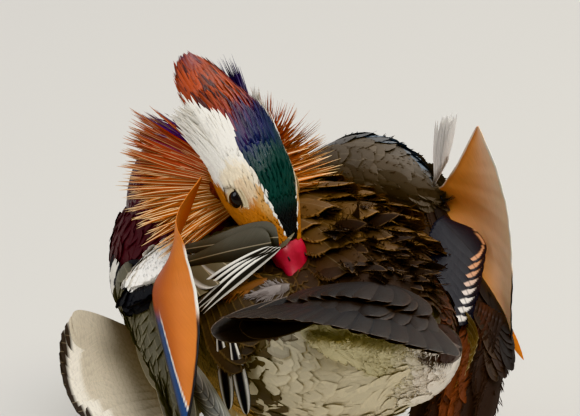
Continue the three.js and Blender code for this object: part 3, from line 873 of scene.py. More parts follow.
@dataclass(frozen=True)
class FeatherFinish(Finish):
    """Barbed vanes that read their colours from the feather."""

    barb_mm: float = 0.55
    barb: float = 0.3
    shaft: str = "#e6d2b0"
    shaft_mm: float = 0.35
    sheen: float = 0.04
    glow: float = 0.0
    gloss: float = 0.0
    wave_mm: float = 1.5
    rich: float = 1.05
    value: float = 1.0
    marks: str = "#2e2417"

    def make(self, tree: Tree) -> bpy.types.Material:
        """Builds the vane's barbs, shaft, rim, fine bars and colour changes.

        Args:
            tree: The node tree to fill.

        Returns:
            The finished material.
        """
        add, sums = tree.add, tree.math
        web = add("ShaderNodeAttribute", attribute_name="web")
        rim = add("ShaderNodeAttribute", attribute_name="rim")
        edge = add("ShaderNodeAttribute", attribute_name="edge").outputs["Fac"]
        mark = add("ShaderNodeAttribute", attribute_name="mark").outputs["Fac"]
        uv = add("ShaderNodeUVMap", uv_map="vane").outputs[0]
        split = add("ShaderNodeSeparateXYZ", {0: uv})
        x = sums("MULTIPLY", split.outputs[0], 100.0)
        y = sums("MULTIPLY", split.outputs[1], 100.0)
        away = sums("ABSOLUTE", x)
        wobble = add("ShaderNodeTexNoise", {"Vector": uv, "Scale": 30.0, "Detail": 2.0}).outputs["Fac"]
        phase = sums("ADD", sums("SUBTRACT", y, sums("MULTIPLY", away, 1.3)), sums("MULTIPLY", wobble, 1.2))
        barb = sums("SINE", sums("MULTIPLY", phase, 2 * math.pi / self.barb_mm))
        barb = sums("ADD", sums("MULTIPLY", barb, 0.5), 0.5)
        strand = add("ShaderNodeTexNoise", {"Vector": add("ShaderNodeCombineXYZ", {
            0: sums("MULTIPLY", phase, 1.6), 1: sums("MULTIPLY", away, 0.12), 2: 0.0}).outputs[0],
            "Scale": 1.0, "Detail": 3.0}).outputs["Fac"]
        ragged = sums("ADD", edge, sums("MULTIPLY", sums("SUBTRACT", strand, 0.5), 1.1))
        inner = sums("MULTIPLY", rim.outputs["Alpha"], 0.75)
        outer = sums("MULTIPLY", rim.outputs["Alpha"], 1.25)
        border = sums("SUBTRACT", 1.0, tree.ramp(ragged, inner, outer))
        border = sums("MULTIPLY", border, tree.ramp(rim.outputs["Alpha"], 0.02, 0.08))
        colour = tree.blend(border, web.outputs["Color"], rim.outputs["Color"])
        bars = add("ShaderNodeTexNoise", {"Vector": add("ShaderNodeCombineXYZ", {
            0: sums("MULTIPLY", x, 0.25), 1: sums("MULTIPLY", y, 2 / self.wave_mm), 2: 0.0}).outputs[0],
            "Scale": 1.0, "Detail": 2.0, "Distortion": 0.5}).outputs["Fac"]
        bars = sums("MULTIPLY", tree.ramp(bars, 0.5, 0.6), mark)
        colour = tree.blend(bars, colour, linear(self.marks))
        light = sums("ADD", 0.8, sums("MULTIPLY", strand, 0.4))
        grey = add("ShaderNodeCombineColor", {0: light, 1: light, 2: light}).outputs[0]
        colour = tree.blend(1.0, colour, grey, "MULTIPLY")
        quill = sums("SUBTRACT", 1.0, tree.ramp(away, self.shaft_mm * 0.5, self.shaft_mm))
        quill = sums("MULTIPLY", quill, web.outputs["Alpha"])
        colour = tree.blend(quill, colour, linear(self.shaft))
        final = add("ShaderNodeHueSaturation", {"Color": colour, "Saturation": self.rich,
                                                "Value": self.value})
        height = sums("ADD", sums("MULTIPLY", barb, 0.4), sums("ADD", strand, quill))
        return self.close(
            tree, final.outputs[0], height, self.barb,
            Sheen_Weight=self.sheen, Sheen_Roughness=0.4,
            Subsurface_Weight=self.glow, Subsurface_Radius=(0.006, 0.003, 0.0015), Subsurface_Scale=0.5,
            Coat_Weight=self.gloss, Coat_Roughness=0.3,
        )


@dataclass(frozen=True)
class SkinFinish(Finish):
    """The skin under the coat, in the coat's own colours."""

    def make(self, tree: Tree) -> bpy.types.Material:
        """Reads the colours and darkens them a little.

        Args:
            tree: The node tree to fill.

        Returns:
            The finished material.
        """
        web = tree.add("ShaderNodeAttribute", attribute_name="web")
        # Painted shade: the skin shows only in the gaps between feathers, so its colours are darkened there
        colour = tree.blend(1.0, web.outputs["Color"], (0.85, 0.83, 0.8), "MULTIPLY")
        grain = tree.add("ShaderNodeTexNoise", {"Scale": 900.0, "Detail": 3.0}).outputs["Fac"]
        return self.close(tree, colour, grain, 0.4)


@dataclass(frozen=True)
class PlainFinish(Finish):
    """One colour with fine grain and slow mottling."""

    colour: str = "#808080"
    second: str = "#808080"
    mottle_mm: float = 8.0
    grain_mm: float = 0.6
    bump: float = 0.2
    coat: float = 0.0
    glow: float = 0.0
    cells: bool = False

    def make(self, tree: Tree) -> bpy.types.Material:
        """Builds the mottling and the grain or scales.

        Args:
            tree: The node tree to fill.

        Returns:
            The finished material.
        """
        where = tree.add("ShaderNodeTexCoord").outputs["Object"]
        slow = tree.add("ShaderNodeTexNoise", {"Vector": where, "Scale": 1000 / self.mottle_mm,
                                               "Detail": 3.0})
        colour = tree.blend(tree.ramp(slow.outputs["Fac"], 0.35, 0.65), linear(self.colour),
                            linear(self.second))
        if self.cells:
            cell = tree.add("ShaderNodeTexVoronoi", {"Vector": where, "Scale": 1000 / self.grain_mm},
                            feature="DISTANCE_TO_EDGE")
            height = tree.ramp(cell.outputs["Distance"], 0.0, 0.15)
            colour = tree.blend(height, tree.blend(0.55, colour, (0.02, 0.012, 0.008)), colour)
        else:
            height = tree.add("ShaderNodeTexNoise", {"Vector": where, "Scale": 1000 / self.grain_mm,
                                                     "Detail": 3.0}).outputs["Fac"]
        return self.close(tree, colour, height, self.bump, Coat_Weight=self.coat, Coat_Roughness=0.12,
                          Subsurface_Weight=self.glow, Subsurface_Radius=(0.004, 0.001, 0.0006),
                          Subsurface_Scale=0.4)


# The bird's coat

# Matt barbed vanes: each row catches the light apart, so the coat looks soft and combed
FEATHERS = FeatherFinish("body feathers", roughness=0.62)
# Vanes dark to the quill, a little smoother, so the folds between them look deep
DARK = FeatherFinish("dark feathers", roughness=0.5, shaft="#120e0b", shaft_mm=0.5)
# Fine close barbs with a faint sheen, so head and neck look like satin
NECK = FeatherFinish("neck feathers", roughness=0.42, barb_mm=0.4, sheen=0.02)
# Long narrow hackles with pale quills, so the ruff looks made of separate strands
HACKLES = FeatherFinish("long hackles", roughness=0.5, shaft="#f3d9ae", shaft_mm=0.26, sheen=0.0, rich=1.1)
# Stiff flight feathers with black-brown quills: smooth, firm and clean at the edge
FLIGHT = FeatherFinish("flight feathers", roughness=0.45, shaft="#1c1714", shaft_mm=0.5, barb=0.25)
# The sail's thin orange web lets some light through, so it seems to glow
SAIL = FeatherFinish("sail feathers", roughness=0.5, barb_mm=0.7, barb=0.25, shaft="#7a3d12", shaft_mm=0.5,
                     glow=0.16)
# Coarse barbs and thick dark quills, so the fan looks stiff and ruffled
TAIL = FeatherFinish("tail feathers", roughness=0.5, barb_mm=0.8, barb=0.4, shaft="#0d0a09", shaft_mm=0.9)
# Skin in the colours of the feathers above it, darkened a little as painted shade, so the gaps between them
# stay quiet
SKIN = SkinFinish("under coat", roughness=0.8)

WHITE, BLACK = linear("#e8e2d6"), linear("#0f0e11")


def paint(colour: str | tuple[float, ...]) -> Array:
    """The linear colour of a hex code, or of a colour that is linear already."""
    return np.array(linear(colour) if isinstance(colour, str) else colour)


def stain(base: Array, colour: str | tuple[float, ...], share: Array) -> Array:
    """Takes colours towards one colour by shares, with the colour on a new last axis."""
    return mix(base, paint(colour), share[..., None])


def shade(low: str, high: str, share: Array) -> Array:
    """Goes from one hex colour to another by shares."""
    return stain(paint(low), high, share)


def above_line(p: Array) -> Array:
    """How far points lie above the slanting lower edge of the maroon breast, in millimetres."""
    return ((p[:, 0] - 62) + 2 * (p[:, 2] - 116)) / math.sqrt(5)


def tint(code: str | tuple[float, ...], count: int, spread: float = 0.12) -> Array:
    """One colour for each feather, each a little lighter or darker."""
    return paint(code) * (1 + spread * noise(count, 1)).clip(0.5, 1.6)


def pick(mask: Array, a: Array, b: Array) -> Array:
    """Takes a where the mask holds, else b."""
    return np.where(mask[:, None], a, b)


def scatter(body: Oval, spacing: float, start: float, end: float, low: float, high: float,
            step: float | None = None) -> tuple[Array, Array]:
    """Staggered rows of places on a body.

    Args:
        body: The oval body.
        spacing: Distance between neighbours in a row, in millimetres.
        start: First share of the length.
        end: Last share of the length.
        low: First turn from the top, in degrees.
        high: Last turn.
        step: Distance between rows.

    Returns:
        Shares of the length and turns in radians.
    """
    fine = np.linspace(start, end, 60)
    steps = np.diff(body.point(fine, np.full(60, 1.2)), axis=0)
    run = np.concatenate([[0], np.cumsum(np.linalg.norm(steps, axis=1))])
    rows = np.interp(np.arange(0, run[-1], step or spacing), run, fine)
    ts, angles = [], []
    for i, t in enumerate(rows):
        radius = spline(body.rows, np.array(t))[3:].mean()
        count = max(3, int(math.radians(high - low) * radius / spacing))
        place = np.arange(count) + 0.5 * (i % 2) + noise(count) * 0.12
        a = np.radians(low + (high - low) * place / count)
        slip = noise(count) * 0.12 * spacing / max(run[-1], 1) * (end - start)
        ts.append(np.full(count, t) + slip)
        angles.append(a)
    return np.concatenate(ts), np.concatenate(angles)


class Duck:
    """Builds the coat, tract by tract."""

    # Body

    def body_colour(self, p: Array) -> tuple[Array, Array, Array, Array]:
        """Colours of the body's small feathers at points of the bird.

        Args:
            p: Points in the bird's frame.

        Returns:
            Vane colour, rim colour, rim width in millimetres and strength of fine bars.
        """
        n = len(p)
        x, y, z = p.T
        q = above_line(p)
        belly = smooth(72, 56, z)
        web = pick(x > 20, tint("#4a1722", n), tint("#5e4a33", n))
        rim, wide, mark = tint("#6e2a2c", n), 0.5, np.zeros(n)
        # Upper side of the body, brown with golden rims
        back = (z > 128) & (x < 40) & (q < 40)
        web = pick(back, tint("#33261b", n), web)
        rim = pick(back, tint("#4f3b26", n), rim)
        wide = np.where(back, 0.8, wide)
        # Flanks, fine bars that turn golden low down
        flank = (z <= 128) & (x < 22)
        gold = smooth(110, 78, z)[:, None]
        web = pick(flank, mix(tint("#7a6845", n), tint("#b98f52", n), gold), web)
        rim = pick(flank, mix(tint("#8d7b58", n), tint("#c9a266", n), gold), rim)
        mark = np.where(flank, 0.75, mark)
        # Belly and under the tail
        x = x + 2.5 * noise(n)
        low = belly * (x < 60) + smooth(-48, -62, x) * (z < 122) + smooth(-80, -92, x) * (z < 142)
        low = np.clip(low, 0, 1)[:, None]
        low = low * (1 - smooth(-38, -46, y) * smooth(84, 96, z))[:, None]
        rump = smooth(-14, -24, y) * smooth(110, 117, z) * (x < -60)
        dusk = np.clip(smooth(-36, -46, y) * smooth(-30, -45, x) * smooth(78, 92, z) + rump, 0, 1)[:, None]
        low = low * (1 - rump[:, None])
        web, rim = mix(web, tint("#33211a", n, 0.2), dusk), mix(rim, tint("#5a3524", n), dusk)
        # Cream-white, painted darker buff away from the bird's right side as painted shade
        cream_with_painted_shade = mix(tint("#d6c9ab", n, 0.04), tint("#ebe1d6", n, 0.03), smooth(-20, -60, y)[:, None])
        web = mix(web, cream_with_painted_shade, low)
        rim = mix(rim, web * 1.06, low)
        mark = mark * (1 - low[:, 0])
        wide = np.where(low[:, 0] > 0.5, 1.6, wide)
        # Dull brown between lighter bands behind the wings' edges
        strip = (x < -52) & (x > -82) & (z > 78) & (z < 128) & (np.abs(y - 8) > 34)
        band = np.mod(x + 0.25 * z + 100, 13) < 3.2
        web = pick(strip & ~band, tint("#54462f", n), web)
        rim, wide, mark = pick(strip, web, rim), np.where(strip, 0.3, wide), np.where(strip, 0, mark)
        maroon = (q >= -1) & (x > 4)
        web = pick(maroon, tint("#441217", n, 0.08), web)
        rim = pick(maroon, web * 1.1, rim)
        mark = np.where(maroon, 0, mark)
        wide = np.where(maroon, 0.6, wide)
        return web, rim, wide, mark

    def body(self) -> None:
        """Small feathers over the breast, flanks, belly and back."""
        torso = Plan.torso
        front, rear = Coat("breast and flank feathers", Plan.bird), Coat("hind body feathers", Plan.bird)
        for coat, start, end, spacing, length, slim, lift, shape in (
            (front, 0.03, 0.5, 4.6, 14.0, 0.72, 0.1, Shape.ROUND),
            (rear, 0.5, 0.965, 4.6, 24.0, 0.4, 0.035, Shape.LANCE),
        ):
            t, a = scatter(torso, spacing, start, end, -180, 180, spacing * 0.8)
            root, along, out = torso.lie(t, a, -3.2)
            keep = ~Plan.inside_neck(root, 1.0) & ~Plan.vent.inside(root, 2.0)
            root, along, out, t, a = root[keep], along[keep], out[keep], t[keep], a[keep]
            n = len(root)
            web, rim, wide, mark = self.body_colour(root + along * length * 0.6)
            size = length * (1 + 0.12 * noise(n))
            small = mix(0.7, 1.0, smooth(95, 60, root[:, 0]))
            size = size * small
            coat.add(Batch(root, along, out, size, size * slim, web, rim, wide,
                           shaft=np.where(mark > 0, 0.12, 0.0),
                           mark=mark, lift=lift + 0.02 * noise(n), shape=shape,
                           bend=torso.fall(t, a, size), cup=0.06, thick=0.12,
                           sweep=0.05 * noise(n), twist=0.08 * noise(n), rings=5))
        self.bars(front)
        mantle = Coat("mantle feathers", Plan.bird)
        self.mantle(mantle)
        mantle.build(FEATHERS, "plumage")
        side = Coat("far rump feathers", Plan.bird)
        self.dusky(side)
        side.build(FEATHERS, "plumage")
        self.flanks(front)
        front.build(FEATHERS, "plumage")
        rear.build(FEATHERS, "plumage")

    def bars(self, coat: Coat) -> None:
        """Two white bars on each side of the breast, edged with black.

        Args:
            coat: The coat that takes the feathers.
        """
        t, a = scatter(Plan.torso, 2.3, 0.03, 0.5, -180, 180, 2.2)
        root, _, out = Plan.torso.lie(t, a, -0.2)
        x, y, z = root.T
        bar = x + 0.25 * (z - 112)
        keep = (np.abs(z - 103) < 22) & (np.abs(y - 12) > 26) & (np.abs(bar - 49) < 13)
        root, out, bar = root[keep], out[keep], bar[keep]
        n = len(root)
        white = (np.abs(bar - 57) < 3.2) | (np.abs(bar - 45) < 3.2)
        web = pick(white, tint(WHITE, n, 0.03), tint(BLACK, n))
        down = unit(np.array((0.25, 0, -1.0)))
        along = unit(down - out * (out @ down)[:, None])
        coat.add(Batch(root, along, out, 8.0, 3.2, web, web, 0.2, shaft=0.0, lift=0.05, bend=-0.1, cup=0.1,
                       rings=4, across=3, thick=0.1))

    def mantle(self, coat: Coat) -> None:
        """Raised scalloped feathers of the back and the downy rump.

        Args:
            coat: The coat that takes the feathers.
        """
        for t in np.linspace(0.3, 0.76, 11):
            count = 12
            rump = smooth(0.52, 0.66, t)
            a = np.radians(np.linspace(-62, 8, count) + noise(count) * 2.5)
            a = a[(t < 0.55) | (a > math.radians(-40))]
            count = len(a)
            root, along, out = Plan.torso.lie(t + 0.01 * noise(count), a, -4)
            length = mix(41, 30, smooth(0.45, 0.76, t)) * (1 + 0.08 * noise(count))
            web = mix(tint("#62492f", count, 0.2), tint("#34251b", count, 0.2), rump)
            rim = mix(tint("#866440", count, 0.15), tint("#43301f", count, 0.2), rump)
            vanes = Batch(root, along, out, length, 22.0 * (1 + 0.08 * noise(count)), web, rim,
                          1.1, shaft=0.1, lift=math.radians(24) + 0.06 * noise(count),
                          bend=-0.2, cup=0.2, twist=0.1 * noise(count),
                          sweep=0.05 * noise(count), rings=9, across=5, patch=0.01)
            coat.add(vanes)
            coat.add(vanes.fringe(34, 5.5, mix(web, rim, 0.7), 0.35))
        count = 110
        t, a = RNG.uniform(0.55, 0.8, count), np.radians(RNG.uniform(-40, 6, count))
        root, along, out = Plan.torso.lie(t, a, -2)
        web = tint("#2a1e16", count, 0.2)
        down = Batch(root, along, out, RNG.uniform(18, 30, count), RNG.uniform(6, 11, count), web,
                     tint("#5a4736", count), 0.6, shaft=0.0, lift=RNG.uniform(0.45, 0.85, count),
                     bend=-0.25, sweep=0.2 * noise(count), twist=0.5 * noise(count),
                     shape=Shape.LOCK, rings=7)
        coat.add(down)
        coat.add(down.fringe(16, 5.0, web * 1.3, 0.2))

    def dusky(self, coat: Coat) -> None:
        """Dark brown and rufous feathers between the under-tail and the far wing.

        Args:
            coat: The coat that takes the feathers.
        """
        tiers = ((0.0, 14, (-72, -55, 115), (-99, -66, 112), (-94, -28, 80), (-110, -52, 80)),
                 (2.0, 12, (-78, -48, 105), (-104, -61, 100), (-93, -20, 66), (-112, -46, 66)),
                 (3.0, 9, (-78, -63, 120), (-95, -67, 117), (-88, -50, 92), (-107, -60, 93)))
        for depth, count, left_root, right_root, left_tip, right_tip in tiers:
            s = shares(count)[:, None]
            root = mix(np.array(left_root, float), np.array(right_root, float), s)
            tip = mix(np.array(left_tip, float), np.array(right_tip, float), s)
            tip = tip + noise(count, 3) * 1.2
            rufous = smooth(0.15, 0.35, s) * smooth(0.7, 0.55, s) * (0.3 if depth == 3.0 else 1.0)
            web = mix(tint("#2b1d16", count, 0.2), tint("#6b3a24", count, 0.2), rufous)
            lift = depth * np.array((-0.6, -0.2, 0.5))
            vanes = self.bridge(root + lift, tip + lift * 0.6, (-0.7, -0.2, 0.4), 12, web, rim=web * 1.3,
                                rim_mm=0.6, shaft=0.0, bend=-0.1, cup=0.15, rings=10, across=5)
            coat.add(vanes)
            coat.add(vanes.fringe(24, 5.0, web * 1.15, 0.3))
        edge = spline(((-22, -75, 152), (-34, -74, 146), (-60, -72, 132), (-87, -69, 120), (-99, -66, 111)),
                      np.linspace(0, 0.94, 26))
        run = unit(np.gradient(edge, axis=0))
        for inward, hue in ((-1.0, "#1c1511"), (3.5, "#2b1f18"), (8.0, "#33261c")):
            start = edge + inward * np.array((0.35, 0.75, -0.5)) + noise(*edge.shape) * 0.4
            web = tint(hue, 26, 0.2)
            band = self.bridge(start - 4 * run, start + 24 * run + 3 * np.array((0.1, 0.2, -0.5)),
                               (-0.6, -0.2, 0.7),
                               8, web, rim=web * 1.4, rim_mm=0.5, shaft=0.0, bend=-0.08, cup=0.2, rings=9,
                               across=5)
            coat.add(band)

    def flanks(self, coat: Coat) -> None:
        """Closed flank feathers of the far side, long and finely barred.

        Args:
            coat: The coat that takes the feathers.
        """
        for row in range(5):
            count = 7
            a = np.radians(np.linspace(-96, -124, count))
            root, along, out = Plan.torso.lie(np.full(count, 0.4 + 0.06 * row), a, -2)
            coat.add(Batch(root, along, out, 46.0, 20.0,
                           tint("#a88a58", count), tint("#cdbd98", count), 0.9, mark=0.35, lift=0.14,
                           bend=-0.06, rings=9, across=7, patch=0.01))

    # Scapulars and other large feathers near the wing

    def scapulars(self) -> None:
        """Long shoulder feathers of both sides, the flank fan and its stripes."""
        right = Coat("right scapulars", Plan.bird, tiles=True)
        ends = self.ends
        root, tip = ends(((-43, -63, 150), (-66, -71, 134)), ((-49, -55, 141), (-84, -50, 111)), 8)
        root_rise, tip_rise = 4 * unit(np.array((-0.7, 0, 0.7))), 4 * unit(np.array((-0.7, -0.1, 0.7)))
        row = shares(8)[:, None, None]

        def slate(u: Array, t: Array) -> Array:
            """Slate black, with a pale line inside the dark edge.

            Args:
                u: Places across the vane, -1 to 1.
                t: Shares of its length.

            Returns:
                The colours.
            """
            edge = np.abs(u) ** 3 * smooth(0.3, 0.6, t) + smooth(0.62, 1.0, t) ** 2
            line = smooth(0.62, 0.68, edge) * smooth(0.95, 0.9, edge)
            dark = paint("#1d1d24") * (1 + 0.15 * row[..., None])
            return mix(dark, shade("#dba27c", "#f2ebe2", smooth(0.2, 0.7, row)), line[..., None])

        right.add(self.bridge(root + root_rise, tip + tip_rise, (-0.75, 0.1, 0.65), 23, slate, rings=40,
                              across=17, bend=-0.14, shape=Shape.ROUND))
        right.build(DARK, "plumage")
        left = Coat("left scapulars", Plan.bird, tiles=True)
        root, tip = ends(((14, 60, 140), (-36, 80, 134)), ((-14, 44, 158), (-56, 30, 166)), 7)
        level = shares(7)[:, None, None]

        def olive(u: Array, t: Array) -> Array:
            """Olive grey, with a white and a black stripe along the lower feathers.

            Args:
                u: Places across the vane, -1 to 1.
                t: Shares of its length.

            Returns:
                The colours.
            """
            base = shade("#6f6756", "#8a7f68", smooth(-1, 1, u))
            base = stain(base, "#57503f", smooth(0.3, 1.0, t) * 0.4)
            base = stain(base, WHITE, (level < 0.55) * smooth(-0.62, -0.7, u))
            return stain(base, BLACK, (level < 0.55) * smooth(-0.86, -0.92, u))

        left.add(self.bridge(root, tip, (-0.2, 0.5, 1), 21, olive, rings=14, across=11, bend=-0.12))

        def slate_blade(u: Array, t: Array) -> Array:
            """Dark slate that lightens towards one edge."""
            return shade("#35332e", "#5b574c", smooth(-0.9, 0.9, u))

        root, tip = ends(((-12, 63, 152), (-61, 41, 173)), ((-14, 65, 146), (-59, 44, 170)), 2)
        left.add(self.bridge(root, tip, (-0.75, 0.5, 0.4), 17, slate_blade, rings=18, across=9, bend=0.1,
                             sweep=-0.04, shape=Shape.BLUNT, shaft=0.4))
        root, tip = ends(((-30, 66, 128), (-80, 74, 114)), ((-46, 50, 148), (-76, 44, 146)), 9)
        dark = self.bridge(root, tip, (-0.4, 0.5, 0.8), 15, tint("#3f3223", 9, 0.2), rim=tint("#5e4c34", 9),
                           rim_mm=0.8, mark=0.5, shaft=0.0)
        left.add(dark)
        left.add(dark.fringe(24, 4.5, tint("#5e4c34", 9), 0.4))
        for hue, a, b in (
            ("#6b3d1d", (-54, 50, 146), (-42, 60, 138)),
            ("#7a4f2b", (-60, 46, 149), (-48, 57, 142)),
            ("#857c77", (-71, 45, 149), (-57, 54, 142)),
            ("#6f6661", (-74, 42, 150), (-62, 52, 144)),
        ):
            lone = self.bridge(np.array([a], float), np.array([b], float), (-0.5, 0.3, 0.8), 7, tint(hue, 1),
                               shaft=0.0, bend=-0.1, cup=0.25, shape=Shape.LOCK, rings=10)
            left.add(lone)
            left.add(lone.fringe(60, 5.0, tint(hue, 1), 0.1))

        def edged(u: Array, t: Array) -> Array:
            """Black with white edges."""
            return shade("#17140f", "#f0ebe0", smooth(0.5, 0.62, np.abs(u)))

        root, tip = ends(((-24, 76, 128), (-58, 48, 171)), ((-42, 72, 131), (-62, 44, 170)), 4)
        left.add(self.bridge(root, tip, (-0.75, 0.5, 0.4), 5.0, edged, shaft=0.0, rings=18, across=11,
                             bend=0.1, sweep=-0.1, shape=Shape.LANCE, cup=0.15))
        left.build(FEATHERS, "plumage")
        fan = Coat("flank fan", Plan.bird, tiles=True)
        curve = np.array([(34, 101, 104), (27, 112, 97), (14, 118, 83), (-1, 116, 71), (-24, 102, 60)], float)
        count = 15
        s = shares(count)
        root = mix(np.array((32, 52, 84.0)), np.array((-18, 58, 70.0)), s[:, None])
        tip = spline(curve, s)
        share = s[:, None, None]

        def beige(u: Array, t: Array) -> Array:
            """Beige with a white band and a dark tip.

            Args:
                u: Places across the vane, -1 to 1.
                t: Shares of its length.

            Returns:
                The colours.
            """
            base = shade("#8f7e63", "#cfc3ad", smooth(0, 0.8, t))
            white = smooth(0.83, 0.87, t + 0.03 * np.abs(u)) * smooth(0.95, 0.93, t) * (share > 0.1)
            base = stain(base, "#f0e8d8", white)
            return stain(base, "#2c2118", smooth(0.94, 0.96, t) * (share > 0.1))

        fan.add(self.bridge(root, tip, (-0.6, 0.1, 0.8), 21, beige, rings=20, across=7, shape=Shape.BLUNT,
                            bend=0.0, cup=0.04, mark=0.12, shaft=0.15))

        def line(u: Array, t: Array) -> Array:
            """Black with a white line inside each edge."""
            edge = smooth(0.45, 0.6, np.abs(u)) * smooth(0.98, 0.9, np.abs(u))
            return stain(paint(BLACK), "#efe9dc", edge)

        root = np.array([(-56, 72, 131), (-66, 71, 131)], float)
        tip = np.array([(-75, 77, 93), (-88, 75, 95)], float)
        fan.add(self.bridge(root, tip, (-0.5, 0.8, 0.2), 8, line, shaft=0.0, rings=16, across=13, bend=0.02))
        fan.build(FEATHERS, "plumage")

    @staticmethod
    def ends(a: tuple, b: tuple, count: int) -> tuple[Array, Array]:
        """Roots and tips that go evenly from one feather to another.

        Args:
            a: Root and tip of the first feather.
            b: Root and tip of the last one.
            count: How many there are.

        Returns:
            All roots and all tips.
        """
        s = shares(count)[:, None]
        roots, tips = (mix(np.array(a[k], float), np.array(b[k], float), s) for k in (0, 1))
        return roots, tips

    @staticmethod
    def bridge(root: Array, tip: Array, normal: Sequence[float], width: float, web: Array | Callable,
               **settings: object) -> Batch:
        """Feathers that reach from their roots to given tips.

        Args:
            root: Their roots.
            tip: Their tips.
            normal: Roughly the way out.
            width: Their width in millimetres.
            web: Their colours.
            settings: Other values of the group.

        Returns:
            The group of feathers.
        """
        n = len(root)
        along = unit(tip - root)
        values: dict = {"rings": 12, "across": 7, "bend": -0.05}
        values.update(settings)
        bend = np.broadcast_to(np.asarray(values["bend"], float), (n,))
        z = unit(np.array(normal, float) - along * (along @ np.array(normal, float))[:, None])
        length = np.linalg.norm(tip - root, axis=1)
        aim = tip - root - z * (length * bend)[:, None]
        return Batch(root, unit(aim), np.broadcast_to(np.array(normal, float), (n, 3)),
                     np.linalg.norm(aim, axis=1), width, web, **values)

    # Wings

    def wing(self, side: str) -> None:
        """Coverts, tertials and flight feathers of one wing.

        Args:
            side: Left or right.
        """
        axes, arm, sign = Plan.wing_axes[side], Plan.arms[side], Plan.outward[side]
        left = side == "left"
        base, bend, tertial = (8, 0.0, 0.0) if left else (0, -0.18, 0.09)
        flight = heading(169, -9) if left else heading(186, -19)
        coat = Coat(f"{side} wing coverts", Plan.bird)
        quills = Coat(f"{side} wing quills", Plan.bird, tiles=True)
        normal = axes.way(0, sign, 0)
        flight_rim = "#b9b4a4" if left else "#4a4038"

        def spot(along: Array, depth: Array, up: Array) -> Array:
            """Points of the wing's frame, with the depth taken outward."""
            return axes.at(along, sign * depth, up + base)

        def back(rise: Array) -> Array:
            """Ways towards the tail that rise by these angles in degrees."""
            r = np.radians(rise)
            return axes.way(np.cos(r), sign * tertial * np.ones_like(r), np.sin(r))

        def vane(u: Array, t: Array, dark: str, pale: str) -> Array:
            """A dark vane that pales towards its tip and its outer edge."""
            ground = shade(dark, pale, smooth(0.2, 1, t) * 0.5)
            return stain(ground, pale, smooth(0.75, 1, -u * sign))

        for name, count, rows, length, width, bent, colours in (
            ("flight", 10, ((46, 24), (-2, 2), (8, -5)), (126, 90), 15, bend,
             ("#2b2723", "#a7a59c") if left else ("#1f1813", "#4a4038")),
            ("tertial", 8, ((44, 62), (0.3, 4.1), (-2, 20)), (78, 62), 17, -0.04, ("#3f3a30", "#6b6452")),
            ("covert", 10, ((22, 38), (5, 8.6), (-3, 27)), (54, 48), 15, -0.08, ("#5c5545", "#7a7260")),
            ("lesser", 9, ((6, 16), (6.4, 9.1), (2, 22)), (36, 36), 15, -0.1, ("#6a6250", "#857a62")),
        ):
            s = shares(count)
            root = spot(mix(*rows[0], s), mix(*rows[1], s), mix(*rows[2], s))
            if name == "flight":
                along = flight + 0.12 * s[:, None] * axes.z
            else:
                first, last = {"tertial": (5, -2), "covert": (3, -6), "lesser": (3, -8)}[name]
                along = back(mix(first, last, s))
            span = 0.86 if name == "flight" and not left else 1.0
            rim = tint(flight_rim if name == "flight" else "#8f866e", count)
            quills.add(Batch(root, unit(along), np.broadcast_to(normal, (count, 3)), span * mix(*length, s),
                             width,
                             partial(vane, dark=colours[0], pale=colours[1]), rim=rim, rim_mm=0.5, shaft=0.6,
                             bend=bent, rings=16 if name == "flight" else 11, across=7,
                             shape=Shape.LANCE if name == "flight" else Shape.ROUND))
        # Small feathers over the arm
        t, a = scatter(arm, 6.5, 0.08, 0.93, -180, 180, 5.5)
        root, along, out = arm.lie(t, a, -1.0)
        face = (out @ normal > -0.25) & (~Plan.torso.inside(root, 2.0))
        root, along, out, t, a = root[face], along[face], out[face], t[face], a[face]
        n = len(root)
        white = (root[:, 0] > 0) & (root[:, 2] > 118) & left
        q = above_line(root)
        web = tint("#615c4c" if left else "#5a5148", n)
        web = pick(white & (q > -30) & (root[:, 2] > 128), tint(BLACK, n), web)
        coat.add(Batch(root, along, out, 20.0, 13.5, web, web * 1.3, 0.8, lift=0.1,
                       shaft=0.1, bend=arm.fall(t, a, 20.0), cup=0.1, twist=0.06 * noise(n),
                       rings=7, across=5))
        if left:
            self.shoulder(coat)
        else:
            self.hump(coat)
        coat.build(FEATHERS, "plumage")
        quills.build(FLIGHT, "flight")

    def shoulder(self, coat: Coat) -> None:
        """The white patch above the near wing, with black feathers below it.

        Args:
            coat: The coat that takes the feathers.
        """
        rows = ((-7, 0, 0, 4, 3, 4), (3, 0, 0, 10, 5, 6), (15, 0, 0, 13, 6, 8), (27, 0, 0, 10, 5, 6),
                (35, 0, 0, 3, 3, 3))
        for colour, place in ((BLACK, (5, 82, 125)), (linear("#f4f0e9"), (8, 77, 133))):
            pad = Oval(Axes.make(place, (-0.42, -0.7, 0.57), (0.2, 0.75, 0.6)), rows)
            t, a = scatter(pad, 2.4, 0.04, 0.96, -180, 180, 2.2)
            root, _, out = pad.lie(t, a, -0.4)
            n = len(root)
            web = tint(colour, n, 0.04)
            along = np.broadcast_to(unit(np.array((-0.9, 0.25, -0.2))), (n, 3))
            coat.add(Batch(root, along - out * (along * out).sum(1, keepdims=True), out, 8.0, 4.6, web,
                           web, 0.2, shaft=0.0, lift=0.08, bend=-0.36, cup=0.1, rings=5, thick=0.06,
                           twist=0.05 * noise(n)))

